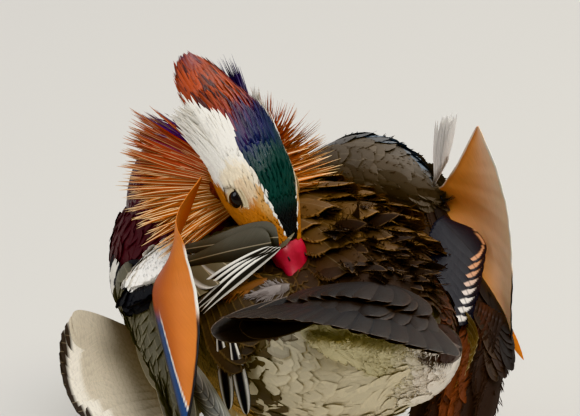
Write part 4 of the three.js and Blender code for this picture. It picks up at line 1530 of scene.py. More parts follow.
    def hump(self, coat: Coat) -> None:
        """Broad grey-brown feathers over the far wing's shoulder, with a silver-blue upper edge.

        Args:
            coat: The coat that takes the feathers.
        """
        t, a = scatter(Plan.hump, 6.8, 0.02, 0.9, -180, 180, 6.2)
        root, along, out = Plan.hump.lie(t, a, -0.8)
        keep = ~Plan.torso.inside(root, 3) & ~Plan.arms["right"].inside(root, 3)
        root, along, out, t, turn = root[keep], along[keep], out[keep], t[keep], a[keep]
        a = np.degrees(turn)
        n = len(root)
        web = mix(tint("#5d5347", n), tint("#6f7b86", n, 0.05),
                  (smooth(-15, 30, a) * smooth(60, 35, a))[:, None])
        size = mix(34, 19, t)
        plume = Batch(root, along, out, size, 15.0 + noise(n), web, web * 1.08, 0.6,
                      shaft=0.05, lift=0.1, bend=Plan.hump.fall(t, turn, size), cup=0.08, rings=8, across=5,
                      thick=0.15, twist=0.05 * noise(n), sweep=0.05 * noise(n))
        coat.add(plume)
        coat.add(plume.fringe(8, 3.0, web * 1.1, 0.5))

    # Sails

    def sail(self, side: str) -> None:
        """The upright orange sail feather, a ruled sheet with a white front edge and a dark tip.

        Args:
            side: Left or right.
        """
        left = side == "left"
        front, free, belly = (
            (((-11, 53, 187), (-10, 60, 169), (-12, 71, 151), (-14, 83, 134), (-52, 98, 114), (-91, 111, 94)),
             ((-12, 54, 188), (-17, 71, 173), (-32, 75, 161), (-54, 81, 140), (-75, 95, 118), (-92, 111, 95)),
             -0.12)
            if left else
            (((-54, -79, 201), (-42, -76, 178), (-30, -76, 163), (-21, -77, 151), (-60, -72, 129),
              (-104, -65, 106)),
             ((-56, -79, 202), (-70, -81, 183), (-84, -79, 162), (-95, -74, 140), (-102, -69, 122),
              (-107, -66, 105)),
             0.12)
        )
        rows, columns = 90, 41
        t = shares(rows)
        f, g = spline(front, t), spline(free, t)
        both = np.array(front) + np.array(free)
        tangent = unit(spline(both, t + 0.01) - spline(both, t - 0.01))
        across = g - f
        breadth = np.linalg.norm(across, axis=1, keepdims=True)
        normal = unit(np.cross(across, tangent))
        v = shares(columns)
        ripple = 0.1 * np.sin(t[:, None] * 90 + 3 * v) * v + 0.12 * np.sin(t[:, None] * 37 + 1)
        swell = belly * breadth[:, None] * bell(v)[None, :, None]
        swell = swell + ripple[..., None] * np.minimum(breadth, 20)[:, None] / 20
        p = f[:, None] + across[:, None] * v[None, :, None] + normal[:, None] * swell
        colour, mm = self.sail_colour(left, t, v, breadth[:, 0])
        self.sheet(f"{side} sail", p, normal, 0.5, colour, mm, f"sail_{side}")
        if not left:
            fringe = Coat("sail fringe", Plan.bird, tiles=True)
            spike = self.bridge(np.array([(-93, -67, 119), (-94, -68, 116)], float),
                                np.array([(-99, -77, 96), (-100, -78, 93)], float), (-0.7, 0.5, 0.4), 4.5,
                                np.array([linear("#17120f"), linear("#d9813a")]), shaft=0.0,
                                shape=Shape.HACKLE)
            fringe.add(spike)
            root, tip = self.ends(((-23, -75, 160), (-31, -73, 199)), ((-32, -77, 176), (-38, -76, 201)), 40)
            tip = tip + noise(40, 3) * 1.4
            fringe.add(self.bridge(root, tip, (-0.8, 0.4, 0.3), 2.2, tint("#faf7f2", 40, 0.02), shaft=0.0,
                                   rings=8, across=3, shape=Shape.HACKLE, bend=0.03, cup=0.2))
            fringe.build(FEATHERS, "sail")

    @staticmethod
    def sail_colour(left: bool, t: Array, v: Array, breadth: Array) -> tuple[Array, Array]:
        """Colours over a sail and the places of its barbs in millimetres.

        Args:
            left: Whether it is the left one.
            t: Shares of the way up the sheet.
            v: Shares of the way across.
            breadth: Its breadth at each share.

        Returns:
            A colour and a place for each point.
        """
        tt, vv = np.meshgrid(t, v, indexing="ij")
        inner, outer = vv * breadth[:, None], (1 - vv) * breadth[:, None]
        # The left sail is in its own orange. The right sail's paler peach is painted light, the glow of light
        # shining through it
        low, high = ("#a84e20", "#cf7d42") if left else ("#dc9c66", "#f3d3b4")
        orange = shade(low, high, smooth(0.1, 0.9, vv))
        orange = stain(orange, "#8a3a10", smooth(4, 0, inner) * 0.5)
        if left:
            lower = smooth(0.64, 0.7, tt)
            blue = smooth(8.2, 7.8, inner) * lower
            white = smooth(1.3, 1.0, outer) * smooth(0.36, 0.42, tt) * smooth(0.66, 0.6, tt) + (
                smooth(9.2, 8.9, inner) * smooth(7.8, 8.1, inner) * lower)
            black = smooth(1.3, 1.0, outer) * smooth(0.6, 0.66, tt) + smooth(0.9, 0.6, inner) * lower
            colour = stain(orange, "#23416f", blue)
            colour = stain(colour, "#0d1630", blue * smooth(4, 1, inner) * 0.8)
        else:
            white = smooth(2.4, 1.8, outer) * smooth(0.06, 0.12, tt) * smooth(0.62, 0.56, tt)
            black = smooth(2.0, 1.5, outer) * smooth(0.58, 0.64, tt)
            white = white + smooth(1.2, 0.9, inner) * smooth(0.6, 0.55, tt) * 0.7
            colour = orange
        colour = stain(stain(colour, WHITE, np.clip(white, 0, 1)), BLACK, np.clip(black, 0, 1))
        mm = np.stack([(vv + 0.15) * breadth[:, None], tt * 170], -1)
        return colour, mm

    def sheet(self, name: str, p: Array, normal: Array, half: float, colour: Array, mm: Array,
              node: str) -> None:
        """Makes a thin closed sheet with both faces in the same colours.

        Args:
            name: The piece's name.
            p: Rows of points.
            normal: The way out of each row.
            half: Half its thickness in millimetres.
            colour: A colour for each point.
            mm: Places of the barbs in millimetres.
            node: The solid that it stands for.
        """
        rows, columns = p.shape[:2]
        push = normal[:, None] * half * (1 - 0.6 * np.abs(np.linspace(-1, 1, columns)) ** 2)[None, :, None]
        ring = np.concatenate([p + push, (p - push)[:, ::-1]], 1)
        tone = np.concatenate([colour, colour[:, ::-1]], 1)
        place = np.concatenate([mm, mm[:, ::-1]], 1)
        points, faces = loft(ring)
        mesh = bpy.data.meshes.new(name)
        loops = np.concatenate([np.array(face) for face in faces])
        totals = np.array([len(face) for face in faces])
        fill(mesh, points, loops, totals)
        for key, value in (("web", np.concatenate([tone, np.zeros(tone.shape[:2] + (1,))], -1)),
                           ("rim", np.zeros(tone.shape[:2] + (4,)))):
            layer = mesh.color_attributes.new(key, "FLOAT_COLOR", "POINT")
            layer.data.foreach_set("color", value.astype(np.float32).ravel())
        s, v = np.meshgrid(np.linspace(0.02, 0.98, rows), np.linspace(0.02, 0.48, columns), indexing="ij")
        bake = np.concatenate([np.stack([v, s], -1), np.stack([v + 0.5, s], -1)[:, ::-1]], 1).reshape(-1, 2)
        for key, value in (("OFBake", bake), ("vane", place.reshape(-1, 2) / 100)):
            layer = mesh.uv_layers.new(name=key)
            layer.data.foreach_set("uv", value[loops].astype(np.float32).ravel())
        obj = seat(mesh, SAIL)
        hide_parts(node)

    # Tail

    def tail(self) -> None:
        """The raised tail: dark quills, their coverts, and one low feather apart."""
        coat = Coat("tail quills", Plan.bird, tiles=True)
        count = 14
        s = shares(count)
        turn = mix(95, 166, s)
        flat = np.array([heading(a, 0) for a in turn])
        rise = mix(9, 3, s) + 9 * bell(s)
        along = np.array([heading(a, b) for a, b in zip(turn, rise)])
        normal = np.array([heading(a, 82) + 0.5 * (q - 0.5) * heading(a + 90, 0) for a, q in zip(turn, s)])
        root = Plan.tail_root + 8 * flat + np.array([0, 0, 0.35]) * np.arange(count)[:, None]

        def brown(u: Array, t: Array) -> Array:
            """Black-brown that lightens towards one edge and the tip."""
            base = shade("#0f0b09", "#1e1712", smooth(0.1, 0.9, u))
            return stain(base, "#32281f", smooth(0.6, 1, t) * 0.35)

        coat.add(Batch(root, along, normal, mix(88, 94, bell(s)), 23, brown, rim=tint("#5f5349", count),
                       rim_mm=0.5,
                       shaft=0.8, bend=-0.05, cup=0.1, rings=18, across=9, shape=Shape.BLUNT, thick=0.6))
        coat.add(self.bridge(np.array([(-99.0, 16, 150), (-98, 18, 153)]),
                             np.array([(-101.0, 102, 148), (-112, 92, 151)]),
                             (-0.5, 0.2, 0.85), 21, brown, rim=tint("#5f5349", 2), rim_mm=0.5, shaft=0.6,
                             rings=18, across=9, shape=Shape.ROUND, thick=0.6, bend=-0.04))
        for row, (n, length, up) in enumerate(((11, 56, 2.5), (10, 40, 4.5))):
            s = shares(n)
            turn, rise = mix(99, 165, s) + 1.5 * noise(n), 11 + 3 * row + 10 * bell(s)
            along = np.array([heading(a, b) for a, b in zip(turn, rise)])
            root = Plan.tail_root + np.array([0, 0, up]) + 4 * np.array([heading(a, 0) for a in turn])
            normal = np.array([heading(a, 84) for a in turn])
            coat.add(Batch(root, along, normal, length + 14, 21, tint("#1d150f", n, 0.2),
                           rim=tint("#32261d", n), rim_mm=1.0,
                           shaft=0.2, bend=-0.16, cup=0.14, rings=10, across=7))
        coat.build(TAIL, "tail")
        under = Coat("under-tail feathers", Plan.bird)
        t, a = scatter(Plan.vent, 3.9, 0.12, 0.97, -180, 180, 3.4)
        root, along, out = Plan.vent.lie(t, a, -1.2)
        keep = ~Plan.torso.inside(root, 3.0)
        root, along, out, t, a = root[keep], along[keep], out[keep], t[keep], a[keep]
        n = len(root)
        # Cream-white under the tail, painted darker olive cream towards the bird's left as painted shade
        web = mix(tint("#cdc29c", n, 0.04), tint("#ede2d3", n, 0.03), smooth(10, -25, root[:, 1])[:, None])
        rump = smooth(-14, -24, root[:, 1]) * smooth(110, 117, root[:, 2])
        web = mix(web, tint("#33211a", n, 0.2), rump[:, None])
        size = mix(32, 22, t) * (1 + 0.08 * noise(n))
        soft = Batch(root, along, out, size, size * 0.3, web, web * 1.03, 1.0, shaft=0.0,
                     lift=0.035 + 0.01 * noise(n), bend=Plan.vent.fall(t, a, size), shape=Shape.LANCE,
                     cup=0.05, rings=7, across=3, thick=0.08, sweep=0.06 * noise(n), twist=0.04 * noise(n))
        under.add(soft)
        under.add(soft.fringe(12, 5.0, web * 1.03, 0.4))
        under.build(FEATHERS, "plumage")

    # Head and neck

    def head_colour(self, q: Array) -> Array:
        """Colours of the head at places in its own frame: along the bill's axis, to its left, and up.

        Args:
            q: Places in the head's frame.

        Returns:
            One colour for each place.
        """
        n = len(q)
        s, y, z = q.T
        round_ = np.degrees(np.arctan2(y, z - 5))
        # The head rolls a little, so the crown reaches further down the far side
        turn = np.where(round_ > 0, np.maximum(round_ - 18, 0), -round_)
        back = s + 0.35 * y + 1.6 * noise(n)
        crown = mix(tint("#0c0d0c", n), tint("#083229", n), smooth(-6, -18, s)[:, None])
        crown = mix(crown, tint("#1e1c4a", n, 0.2), smooth(-27, -52, back)[:, None])
        copper = pick(RNG.uniform(size=n) < 0.25, tint("#45201c", n), tint("#9a4428", n, 0.2))
        crown = mix(crown, copper, smooth(-47, -63, back)[:, None])
        gloom = smooth(9, 14, y) * smooth(-62, -72, s) + smooth(-91, -104, s + 0.3 * y) + (
            smooth(-14, -18, y) * smooth(-84, -94, s))
        crown = mix(crown, tint("#3b3348", n), np.clip(gloom, 0, 0.85)[:, None])
        ruddy = smooth(-30, -52, s) * smooth(80, 125, turn)
        pale = smooth(-2, -14, s) * smooth(62, 48, turn) * 0.6
        cheek = mix(tint("#bd7430", n, 0.06), tint("#a35626", n), ruddy[:, None])
        cheek = mix(cheek, tint("#e3bd84", n, 0.05), pale[:, None])
        white = tint("#f1ece2", n, 0.03)
        rough = 0.9 * noise(n)
        edge = np.interp(s, [-92, -80, -70, -60, -53, -40, -27, -15, -5, 8],
                         [180, 105, 62, 38, 28, 31, 31, 28, 33, 33]) + rough
        lower = np.interp(s, [-90, -72, -65, -53, -40, -36, -33, -26, -21, -5, 8],
                          [96, 84, 76, 88, 102, 108, 92, 46, 36, 37, 38]) + rough
        colour = pick(turn < edge, crown, pick(turn < lower, white, cheek))
        near = smooth(13, 7, np.hypot(s + 27, (np.abs(round_) - 63) * 0.33))[:, None] * (turn > edge)[:, None]
        return mix(colour, tint("#ead9bb", n, 0.03), near * 0.8)

    @staticmethod
    def local(p: Array) -> Array:
        """Places in the head's frame."""
        axes = Plan.head_axes
        return (p - axes.origin) @ np.stack([axes.x, axes.y, axes.z], 1)

    def head(self) -> None:
        """Plush feathers of the face and crown, then the crest, the neck and the ruff."""
        axes = Plan.head_axes
        coat = Coat("face feathers", axes)
        t, a = scatter(Plan.full_head, 1.5, 0.03, 0.97, -180, 180, 1.25)
        root, along, out = Plan.full_head.lie(t, a, -0.35)
        q = self.local(root)
        eye = np.hypot((q[:, 0] - Plan.eye_along) / 1.1, q[:, 2] - Plan.eye_up)
        keep = ~((eye < 5.6) & (np.abs(q[:, 1]) > 9)) & (q[:, 0] < 3.5) & ~Plan.inside_neck(root, 2.5)
        keep &= ~Plan.crest.inside(root, 1.2)
        root, along, out, q = root[keep], along[keep], out[keep], q[keep]
        n = len(root)
        web = self.head_colour(q)
        size = mix(2.6, 7.0, smooth(2, -45, q[:, 0]))
        coat.add(Batch(root, along, out, size * 1.1, mix(1.9, 3.0, smooth(0, -40, q[:, 0])), web, web, 0.1,
                       shaft=0.0, lift=0.055 + 0.01 * noise(n), bend=-0.04, cup=0.1, thick=0.08,
                       twist=0.05 * noise(n), rings=4, shape=Shape.LOCK))
        for side in (-1, 1):
            for step, size in ((0.0, 2.6), (1.1, 3.0)):
                count = 54
                ring = (np.arange(count) + 0.5 * step) * 2 * np.pi / count
                r = 5.0 + step
                out_y = 17.5 - 0.6 * step - 0.9 * np.cos(ring) ** 2
                root = axes.at(Plan.eye_along + r * 1.12 * np.cos(ring), side * out_y,
                               Plan.eye_up + r * 0.92 * np.sin(ring))
                away = axes.way(np.cos(ring) - 0.75, 0.0 * ring - 0.12 * side, np.sin(ring))
                coat.add(Batch(root, unit(away), axes.way(0 * ring, side + 0 * ring, 0 * ring), size, 1.0,
                               tint("#e6d5b4", count, 0.04), shaft=0.0, lift=0.02, bend=-0.05, rings=4,
                               thick=0.15))
        coat.build(NECK, "neck")
        self.crest()
        self.neck()
        self.ruff()

    def crest(self) -> None:
        """Fine silky feathers of the crown that run on into the crest, and the white brow's pointed ends."""
        axes = Plan.head_axes
        coat = Coat("crest", axes)
        t, a = scatter(Plan.crest, 1.9, 0.06, 0.96, -180, 180, 1.7)
        root, along, out = Plan.crest.lie(t, a, -0.4)
        q = self.local(root)
        keep = ~Plan.full_head.inside(root, 1.0) & ~Plan.inside_neck(root, 2.5)
        root, along, out, q = root[keep], along[keep], out[keep], q[keep]
        n = len(root)
        web = self.head_colour(q)
        size = mix(6, 15, smooth(-20, -60, q[:, 0])) * (1 + 0.15 * noise(n))
        size = size * mix(1, 0.5, smooth(-84, -100, q[:, 0]))
        coat.add(Batch(root, along, out, size, mix(1.8, 2.4, smooth(-20, -60, q[:, 0])), web, web * 1.1, 0.1,
                       shaft=0.0, lift=0.05 + 0.015 * noise(n), bend=-0.035, cup=0.12, thick=0.12,
                       sweep=0.04 * noise(n), rings=5, shape=Shape.LOCK))
        # Loose ends of the crest
        count = 150
        t, a = RNG.uniform(0.72, 0.97, count), RNG.uniform(-np.pi, np.pi, count)
        root, along, out = Plan.crest.lie(t, a, -0.8)
        web = self.head_colour(self.local(root + along * 8))
        coat.add(Batch(root, along, out, RNG.uniform(12, 20, count) * mix(1, 0.35, smooth(0.7, 0.95, t)), 2.2,
                       web, shaft=0.0, lift=0.05 * noise(count), bend=-0.03,
                       sweep=0.08 * noise(count), rings=7, thick=0.25, shape=Shape.LOCK))
        count = 60
        spread = RNG.uniform(-1, 1, count)
        root = axes.at(-66 - 8 * RNG.uniform(size=count), 12 + 3 * spread, 16 - 4 * np.abs(spread))
        along = axes.way(-np.ones(count), 0.16 + 0.1 * spread, 0.02 + 0.06 * noise(count))
        coat.add(Batch(root, unit(along), axes.way(0 * spread, 0.7 + 0 * spread, 0.7 + 0 * spread),
                       RNG.uniform(18, 28, count), 2.6, tint("#3a3154", count, 0.2), shaft=0.0, bend=-0.04,
                       rings=7, thick=0.25, shape=Shape.LOCK))
        # The brow's pointed ends
        for side in (-1, 1):
            count = 150
            s = RNG.uniform(-0.4, 1, count)
            level = RNG.uniform(0, 1, count)
            root = axes.at(-44 - 24 * s, side * (17 - 1.5 * s) * np.sqrt(1 - 0.4 * (level - 0.5) ** 2),
                           mix(3, 14, level))
            along = axes.way(-np.ones(count), side * mix(0.25, 0.6, s), mix(-0.1, 0.06, level))
            coat.add(Batch(root, unit(along), axes.way(0.2 * np.ones(count), side + 0 * s, 0.2 + 0 * s),
                           mix(20, 15, s) * RNG.uniform(0.8, 1.15, count), 2.4, tint("#f3eee4", count, 0.03),
                           shaft=0.0,
                           lift=0.04, bend=-0.04, cup=0.15, rings=8, shape=Shape.HACKLE, thick=0.25))
        coat.build(NECK, "neck")

    def neck(self) -> None:
        """Small feathers of the neck, purple at the nape and maroon above the breast."""
        coat = Coat("neck feathers", Plan.bird)
        places = []
        for t in np.linspace(0.06, 0.99, 62):
            count = int(2 * math.pi * float(Plan.neck_radius(t)) / 2.9)
            ring = (np.arange(count) + RNG.uniform()) * 2 * np.pi / count
            places.append(np.stack([np.full(count, t), ring], 1))
        t, a = np.concatenate(places).T
        root, along, out = Plan.neck(t, a, -0.8)
        keep = ~Plan.torso.inside(root, 2) & ~Plan.full_head.inside(root, 1.5)
        root, along, out, t = root[keep], along[keep], out[keep], t[keep]
        n = len(root)
        web = mix(tint("#3d0f19", n), tint("#7a2f16", n, 0.2), smooth(172, 186, root[:, 2])[:, None])
        web = mix(web, tint("#2b1b60", n, 0.2), smooth(196, 202, root[:, 2])[:, None])
        # A painted highlight: pinker maroon low on the bird's left side of the neck
        near = smooth(48, 62, root[:, 1]) * smooth(168, 150, root[:, 2]) * 0.6
        web = mix(web, tint("#8f2a3a", n), near[:, None])
        size = mix(12, 8, t)
        coat.add(Batch(root, along, out, size, size * 0.42, web, web * 1.2, 0.2, shaft=0.0, lift=0.1,
                       bend=-0.06, cup=0.12, twist=0.06 * noise(n), rings=4, thick=0.2))
        coat.build(NECK, "neck")

    def ruff(self) -> None:
        """Long pointed hackles with pale shafts, from the cheeks over both sides of the neck."""
        axes = Plan.head_axes
        coat = Coat("ruff hackles", axes, tiles=True)
        sets = (
            (-1, ((40, 62, 213), (38, 68, 200), (31, 76, 186), (21, 79, 171), (8, 77, 157), (-6, 72, 147)),
             124, 6),
            (1, ((26, 4, 212), (14, -12, 205), (1, -25, 192), (-12, -24, 180), (-16, -14, 170)), 88, 4),
        )
        for side, tips, count, layers in sets:
            for layer in range(layers):
                s = np.clip(shares(count) + 0.008 * noise(count), 0, 1)
                clump = np.round(s * 21 + 0.4 * layer) / 21
                tip = spline(np.array(tips, float), np.clip(mix(s, clump, 0.6), 0, 1))
                turn = np.radians(side * mix(84, 172, s))
                share = mix(0.66, 0.44, s) + 0.055 * layer - 0.03 * RNG.uniform(size=count)
                root = Plan.full_head.point(share, turn, -0.8)
                short = (0.97 - 0.11 * layer - 0.16 * RNG.uniform(size=count))[:, None]
                tip = root + (tip - root) * short + noise(count, 3) * 1.7
                tip = tip - axes.way(0, side, 0) * (2.2 * (layer - 1))
                red = tint("#a34730", count, 0.2)
                web = mix(red, tint("#bd6f38", count, 0.2), smooth(0.2, 0.75, s)[:, None])
                web = mix(web, tint("#7a2a18", count), (RNG.uniform(size=count) * 0.5)[:, None])
                if side < 0 and layer > 0:
                    web = mix(web, tint("#43306e", count), (smooth(0.22, 0.1, s) * 0.9)[:, None])
                coat.add(self.bridge(root, tip, axes.way(0, side, 0.1), 2.0, web, rim=web * 1.1, rim_mm=0.2,
                                     shaft=mix(0.35, 0.9, smooth(0.15, 0.7, s)), bend=-0.03, cup=0.2,
                                     rings=11, across=3, shape=Shape.HACKLE, twist=0.3 * noise(count),
                                     sweep=0.02 + 0.05 * noise(count), thick=0.3))
        coat.build(HACKLES, "hackles")

    # Thighs, skin, bare parts

    def thighs(self) -> None:
        """Feathers of the thighs, down to the scaled shanks."""
        coat = Coat("thigh feathers", Plan.bird)
        for y in Plan.legs.values():
            t = np.repeat(shares(18), 26)
            a = np.tile(np.arange(26) * 2 * np.pi / 26, 18) + np.repeat(RNG.uniform(0, 6, 18), 26)
            radius = mix(21, 6.5, t)
            x, z = spline(Plan.thigh_path, t).T
            root = np.stack([x + radius * np.cos(a), y + radius * np.sin(a), z], 1)
            out = np.stack([np.cos(a), np.sin(a), np.zeros_like(a)], 1)
            down = np.broadcast_to(unit(np.array([-0.4, 0, -1.0])), out.shape)
            n = len(root)
            coat.add(Batch(root - out * 1.5, down, out, 11, 5.5, tint("#bfa77c", n), tint("#d8c7a6", n), 0.4,
                           lift=0.1, shaft=0.1, bend=-0.15))
        coat.build(FEATHERS, "plumage")

    def skin(self) -> None:
        """One skin for all the flesh, in the colours of the feathers over it."""
        bodies = [Plan.torso.grid(48, 40, -3.5), Plan.full_head.grid(44, 36, -0.9)]
        bodies += [Plan.vent.grid(24, 32, -2.5), Plan.crest.grid(44, 32, -1.0)]
        bodies += [arm.grid(24, 18, -1.2) for arm in Plan.arms.values()] + [Plan.hump.grid(24, 24, -1.5)]
        t, a = np.meshgrid(shares(30), np.arange(28) * 2 * np.pi / 28, indexing="ij")
        bodies.append(loft(Plan.neck(t, a, -2.2)[0]))
        core = Axes.make(Plan.tail_root - 8 * heading(130.5, 4), heading(130.5, 4), (0, 0, 1))
        rows = ((-12, 0, -4, 12, 6, 10), (2, 0, -2, 19, 11, 18), (18, 0, -1, 18, 9, 15), (34, 0, 0, 9, 3, 6))
        bodies.append(Oval(core, rows).grid(16, 20, -1.5))
        for y in Plan.legs.values():
            s = shares(10)
            path = spline(Plan.thigh_path, s)
            rings = np.stack([np.stack([q[0] + mix(20, 5, k) * np.cos(a[0]), y + mix(20, 5, k) * np.sin(a[0]),
                                        np.full(28, q[1])], 1) for k, q in zip(s, path)])
            bodies.append(loft(rings))
        mesh = bpy.data.meshes.new("skin")
        points = np.concatenate([b[0] for b in bodies])
        start = np.cumsum([0] + [len(b[0]) for b in bodies])
        faces = [tuple(i + int(k) for i in face) for b, k in zip(bodies, start) for face in b[1]]
        mesh.from_pydata(((points + Plan.shift) * MM).tolist(), [], faces)
        obj = bpy.data.objects.new("skin", mesh)
        bpy.context.scene.collection.objects.link(obj)
        remesh = obj.modifiers.new("one skin", "REMESH")
        remesh.mode, remesh.voxel_size = "VOXEL", 0.0018
        ease = obj.modifiers.new("smooth", "SMOOTH")
        ease.factor, ease.iterations = 0.5, 5
        self.apply(obj)
        mesh = obj.data
        co = np.empty(len(mesh.vertices) * 3)
        mesh.vertices.foreach_get("co", co)
        co = co.reshape(-1, 3) / MM - Plan.shift
        roots = np.concatenate([r for r, _ in Coat.roots])
        webs = np.concatenate([w for _, w in Coat.roots])
        tree = KDTree(len(roots))
        for i, r in enumerate(roots):
            tree.insert(r, i)
        tree.balance()
        near = np.array([tree.find(p)[1] for p in co])
        colour = np.concatenate([webs[near], np.ones((len(near), 1))], 1)
        layer = mesh.color_attributes.new("web", "FLOAT_COLOR", "POINT")
        layer.data.foreach_set("color", colour.astype(np.float32).ravel())
        loops = np.empty(len(mesh.loops), np.int32)
        mesh.loops.foreach_get("vertex_index", loops)
        layer = mesh.uv_layers.new(name="OFBake")
        layer.data.foreach_set("uv", place_on(Plan.bird, co)[loops].astype(np.float32).ravel())
        mesh.materials.append(SKIN.material())
        mesh.polygons.foreach_set("use_smooth", np.ones(len(mesh.polygons), bool))
        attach(obj, "root")
        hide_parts("torso", "neck", "head", "wing_left", "wing_right", "tail", "thigh_left",
                    "thigh_right")

    @staticmethod
    def apply(obj: bpy.types.Object) -> None:
        """Settles an object's modifiers into its mesh.

        Args:
            obj: The object.
        """
        graph = bpy.context.evaluated_depsgraph_get()
        mesh = bpy.data.meshes.new_from_object(obj.evaluated_get(graph))
        obj.modifiers.clear()
        obj.data = mesh

    def eyes(self) -> None:
        """Dark brown eyes, each in a thin dark lid."""
        for side, name in ((1, "eye_left"), (-1, "eye_right")):
            axes = Plan.head_axes
            centre = axes.at(Plan.eye_along, side * Plan.eye_out, Plan.eye_up)
            t, a = np.meshgrid(np.linspace(0.001, np.pi - 0.001, 40), np.arange(48) * 2 * np.pi / 48,
                               indexing="ij")
            p = centre + 5.8 * axes.way(np.sin(t) * np.cos(a), side * np.cos(t), np.sin(t) * np.sin(a))
            self.smooth_piece(name.replace("_", " "), loft(p), EYE, "eye", name)
            ring, tube = np.meshgrid(np.arange(64) * 2 * np.pi / 64, np.arange(12) * 2 * np.pi / 12,
                                     indexing="ij")
            r = 4.9 + 0.55 * np.cos(tube)
            p = axes.at(Plan.eye_along + 1.1 * r * np.cos(ring),
                        side * (17.4 + 0.55 * np.sin(tube) - 0.9 * np.cos(ring) ** 2),
                        Plan.eye_up + 0.92 * r * np.sin(ring))
            faces = [(i * 12 + j, ahead * 12 + j, ahead * 12 + (j + 1) % 12, i * 12 + (j + 1) % 12)
                     for i, ahead in ((i, (i + 1) % 64) for i in range(64)) for j in range(12)]
            self.smooth_piece(f"{name.replace('_', ' ')}lid", (p.reshape(-1, 3), faces), LID, "eye")

    def bill(self) -> None:
        """The crimson bill with its nostrils and pale nail."""
        axes = Plan.head_axes
        upper = ((-2, 8.6, 7.5, -1.5), (6, 8.8, 7, -1.6), (14, 7.2, 3.6, -2), (21, 7, 1.6, -2.3),
                 (27, 6.4, 0.6, -2.8),
                 (30, 3.6, -0.8, -3.2))
        lower = ((-2, 6.4, -2.2, -7), (7, 6.8, -2.4, -6.4), (15, 6, -2.9, -5.2), (22, 5.8, -3.1, -4.6),
                 (27, 4.2, -3.6, -4.6))
        for name, rows in (("bill_upper", upper), ("bill_lower", lower)):
            rings = []
            for k in shares(60):
                along, half, top, bottom = spline(rows, np.array(k))
                a = np.arange(48) * 2 * np.pi / 48
                up = np.where(np.cos(a) > 0, np.abs(np.cos(a)) ** 0.85, -np.abs(np.cos(a)) ** 0.35)
                side = np.sign(np.sin(a)) * np.abs(np.sin(a)) ** 0.8
                middle = bottom + (top - bottom) * (0.25 if name == "bill_upper" else 0.7)
                z = np.where(up > 0, middle + up * (top - middle), middle + up * (middle - bottom))
                rings.append(axes.at(np.full(48, along), half * side, z))
            self.smooth_piece(name.replace("_", " "), loft(np.array(rings)), BILL, "bill", name)
        # Dark nostril spots: painted shade that stands for the nostrils' openings
        for side in (-1, 1):
            t, a = np.meshgrid(np.linspace(0.05, np.pi - 0.05, 12), np.arange(16) * 2 * np.pi / 16,
                               indexing="ij")
            p = axes.at(10 + 1.7 * np.cos(t), side * 4.9 + 0.5 * np.sin(t) * np.cos(a),
                        4.6 + 0.45 * np.sin(t) * np.sin(a))
            self.smooth_piece("nostril", loft(p), LID, "bill")
        t, a = np.meshgrid(np.linspace(0.05, np.pi - 0.05, 16), np.arange(20) * 2 * np.pi / 20, indexing="ij")
        p = axes.at(28 + 2.6 * np.cos(t), 2.6 * np.sin(t) * np.cos(a), -1.2 + 1.5 * np.sin(t) * np.sin(a))
        self.smooth_piece("bill nail", loft(p), NAIL, "bill")

    @staticmethod
    def smooth_piece(name: str, shape: tuple[Array, list], finish: Finish, slot: str,
                     *nodes: str) -> bpy.types.Object:
        """Makes a smooth-shaded piece from points and faces.

        Args:
            name: The piece's name.
            shape: Its points and faces.
            finish: Its finish.
            slot: Not used.
            nodes: The solids that it stands for.

        Returns:
            The new object.
        """
        mesh = bpy.data.meshes.new(name)
        mesh.from_pydata(((shape[0] + Plan.shift) * MM).tolist(), [], shape[1])
        mesh.polygons.foreach_set("use_smooth", np.ones(len(mesh.polygons), bool))
        obj = seat(mesh, finish)
        if nodes:
            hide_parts(*nodes)
        return obj

    def feet(self, frame: dict) -> None:
        """Smoothed copies of the shanks, webbed feet and claws.

        Args:
            frame: The loaded solids.
        """
        for side in ("left", "right"):
            for part, size, finish, slot in (("shank", 0.0007, LEG, "leg"), ("foot", 0.0006, LEG, "leg")):
                self.copy(frame, f"{part}_{side}", size, finish, slot)
            for k in range(1, 5):
                self.copy(frame, f"claw_{side}_{k}", 0.00035, CLAW, "claw")

    def copy(self, frame: dict, node: str, size: float, finish: Finish, slot: str) -> None:
        """A smooth copy of one solid.

        Args:
            frame: The loaded solids.
            node: The solid's name.
            size: The grid's size in metres.
            finish: Its finish.
            slot: Not used.
        """
        source = frame["nodes"][node]
        mesh = source.data.copy()
        mesh.materials.clear()
        obj = bpy.data.objects.new(f"{node}_surface", mesh)
        bpy.context.scene.collection.objects.link(obj)
        obj.matrix_world = source.matrix_world.copy()
        remesh = obj.modifiers.new("surface", "REMESH")
        remesh.mode, remesh.voxel_size = "VOXEL", size
        ease = obj.modifiers.new("smooth", "SMOOTH")
        ease.factor, ease.iterations = 0.5, 6
        bpy.context.view_layer.update()
        self.apply(obj)
        obj.data.materials.clear()
        obj.data.materials.append(finish.material())
        obj.data.polygons.foreach_set("use_smooth", np.ones(len(obj.data.polygons), bool))
        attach(obj, "root")
        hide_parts(node)

    def build(self, frame: dict) -> None:
        """Builds everything.

        Args:
            frame: The loaded solids.
        """
        self.body()
        self.scapulars()
        for side in ("left", "right"):
            self.wing(side)
            self.sail(side)
        self.tail()
        self.head()
        self.thighs()
        self.skin()
        self.eyes()
        self.bill()
        self.feet(frame)


# A wet cornea over a near-black iris, so one sharp highlight makes the bird look alive
EYE = PlainFinish("wet eye", roughness=0.06, colour="#0b0503", second="#150a05", bump=0.0)
# Bare dark skin with fine wrinkles, which frames the eye; on the nostrils the same dark is painted shade in
# their openings
LID = PlainFinish("eye rim", roughness=0.5, colour="#17110d", second="#241a14", grain_mm=0.4)
# Thin horn over living tissue: satin, crimson, slightly uneven, with a faint glow
BILL = PlainFinish("bill horn", roughness=0.42, colour="#9c1826", second="#b8283a", mottle_mm=5, grain_mm=0.5,
                   bump=0.2, coat=0.08, glow=0.05)
# Harder and paler horn with a dull shine at the bill's tip
NAIL = PlainFinish("bill nail", roughness=0.35, colour="#d3a08c", second="#c98a78", bump=0.1, coat=0.3)
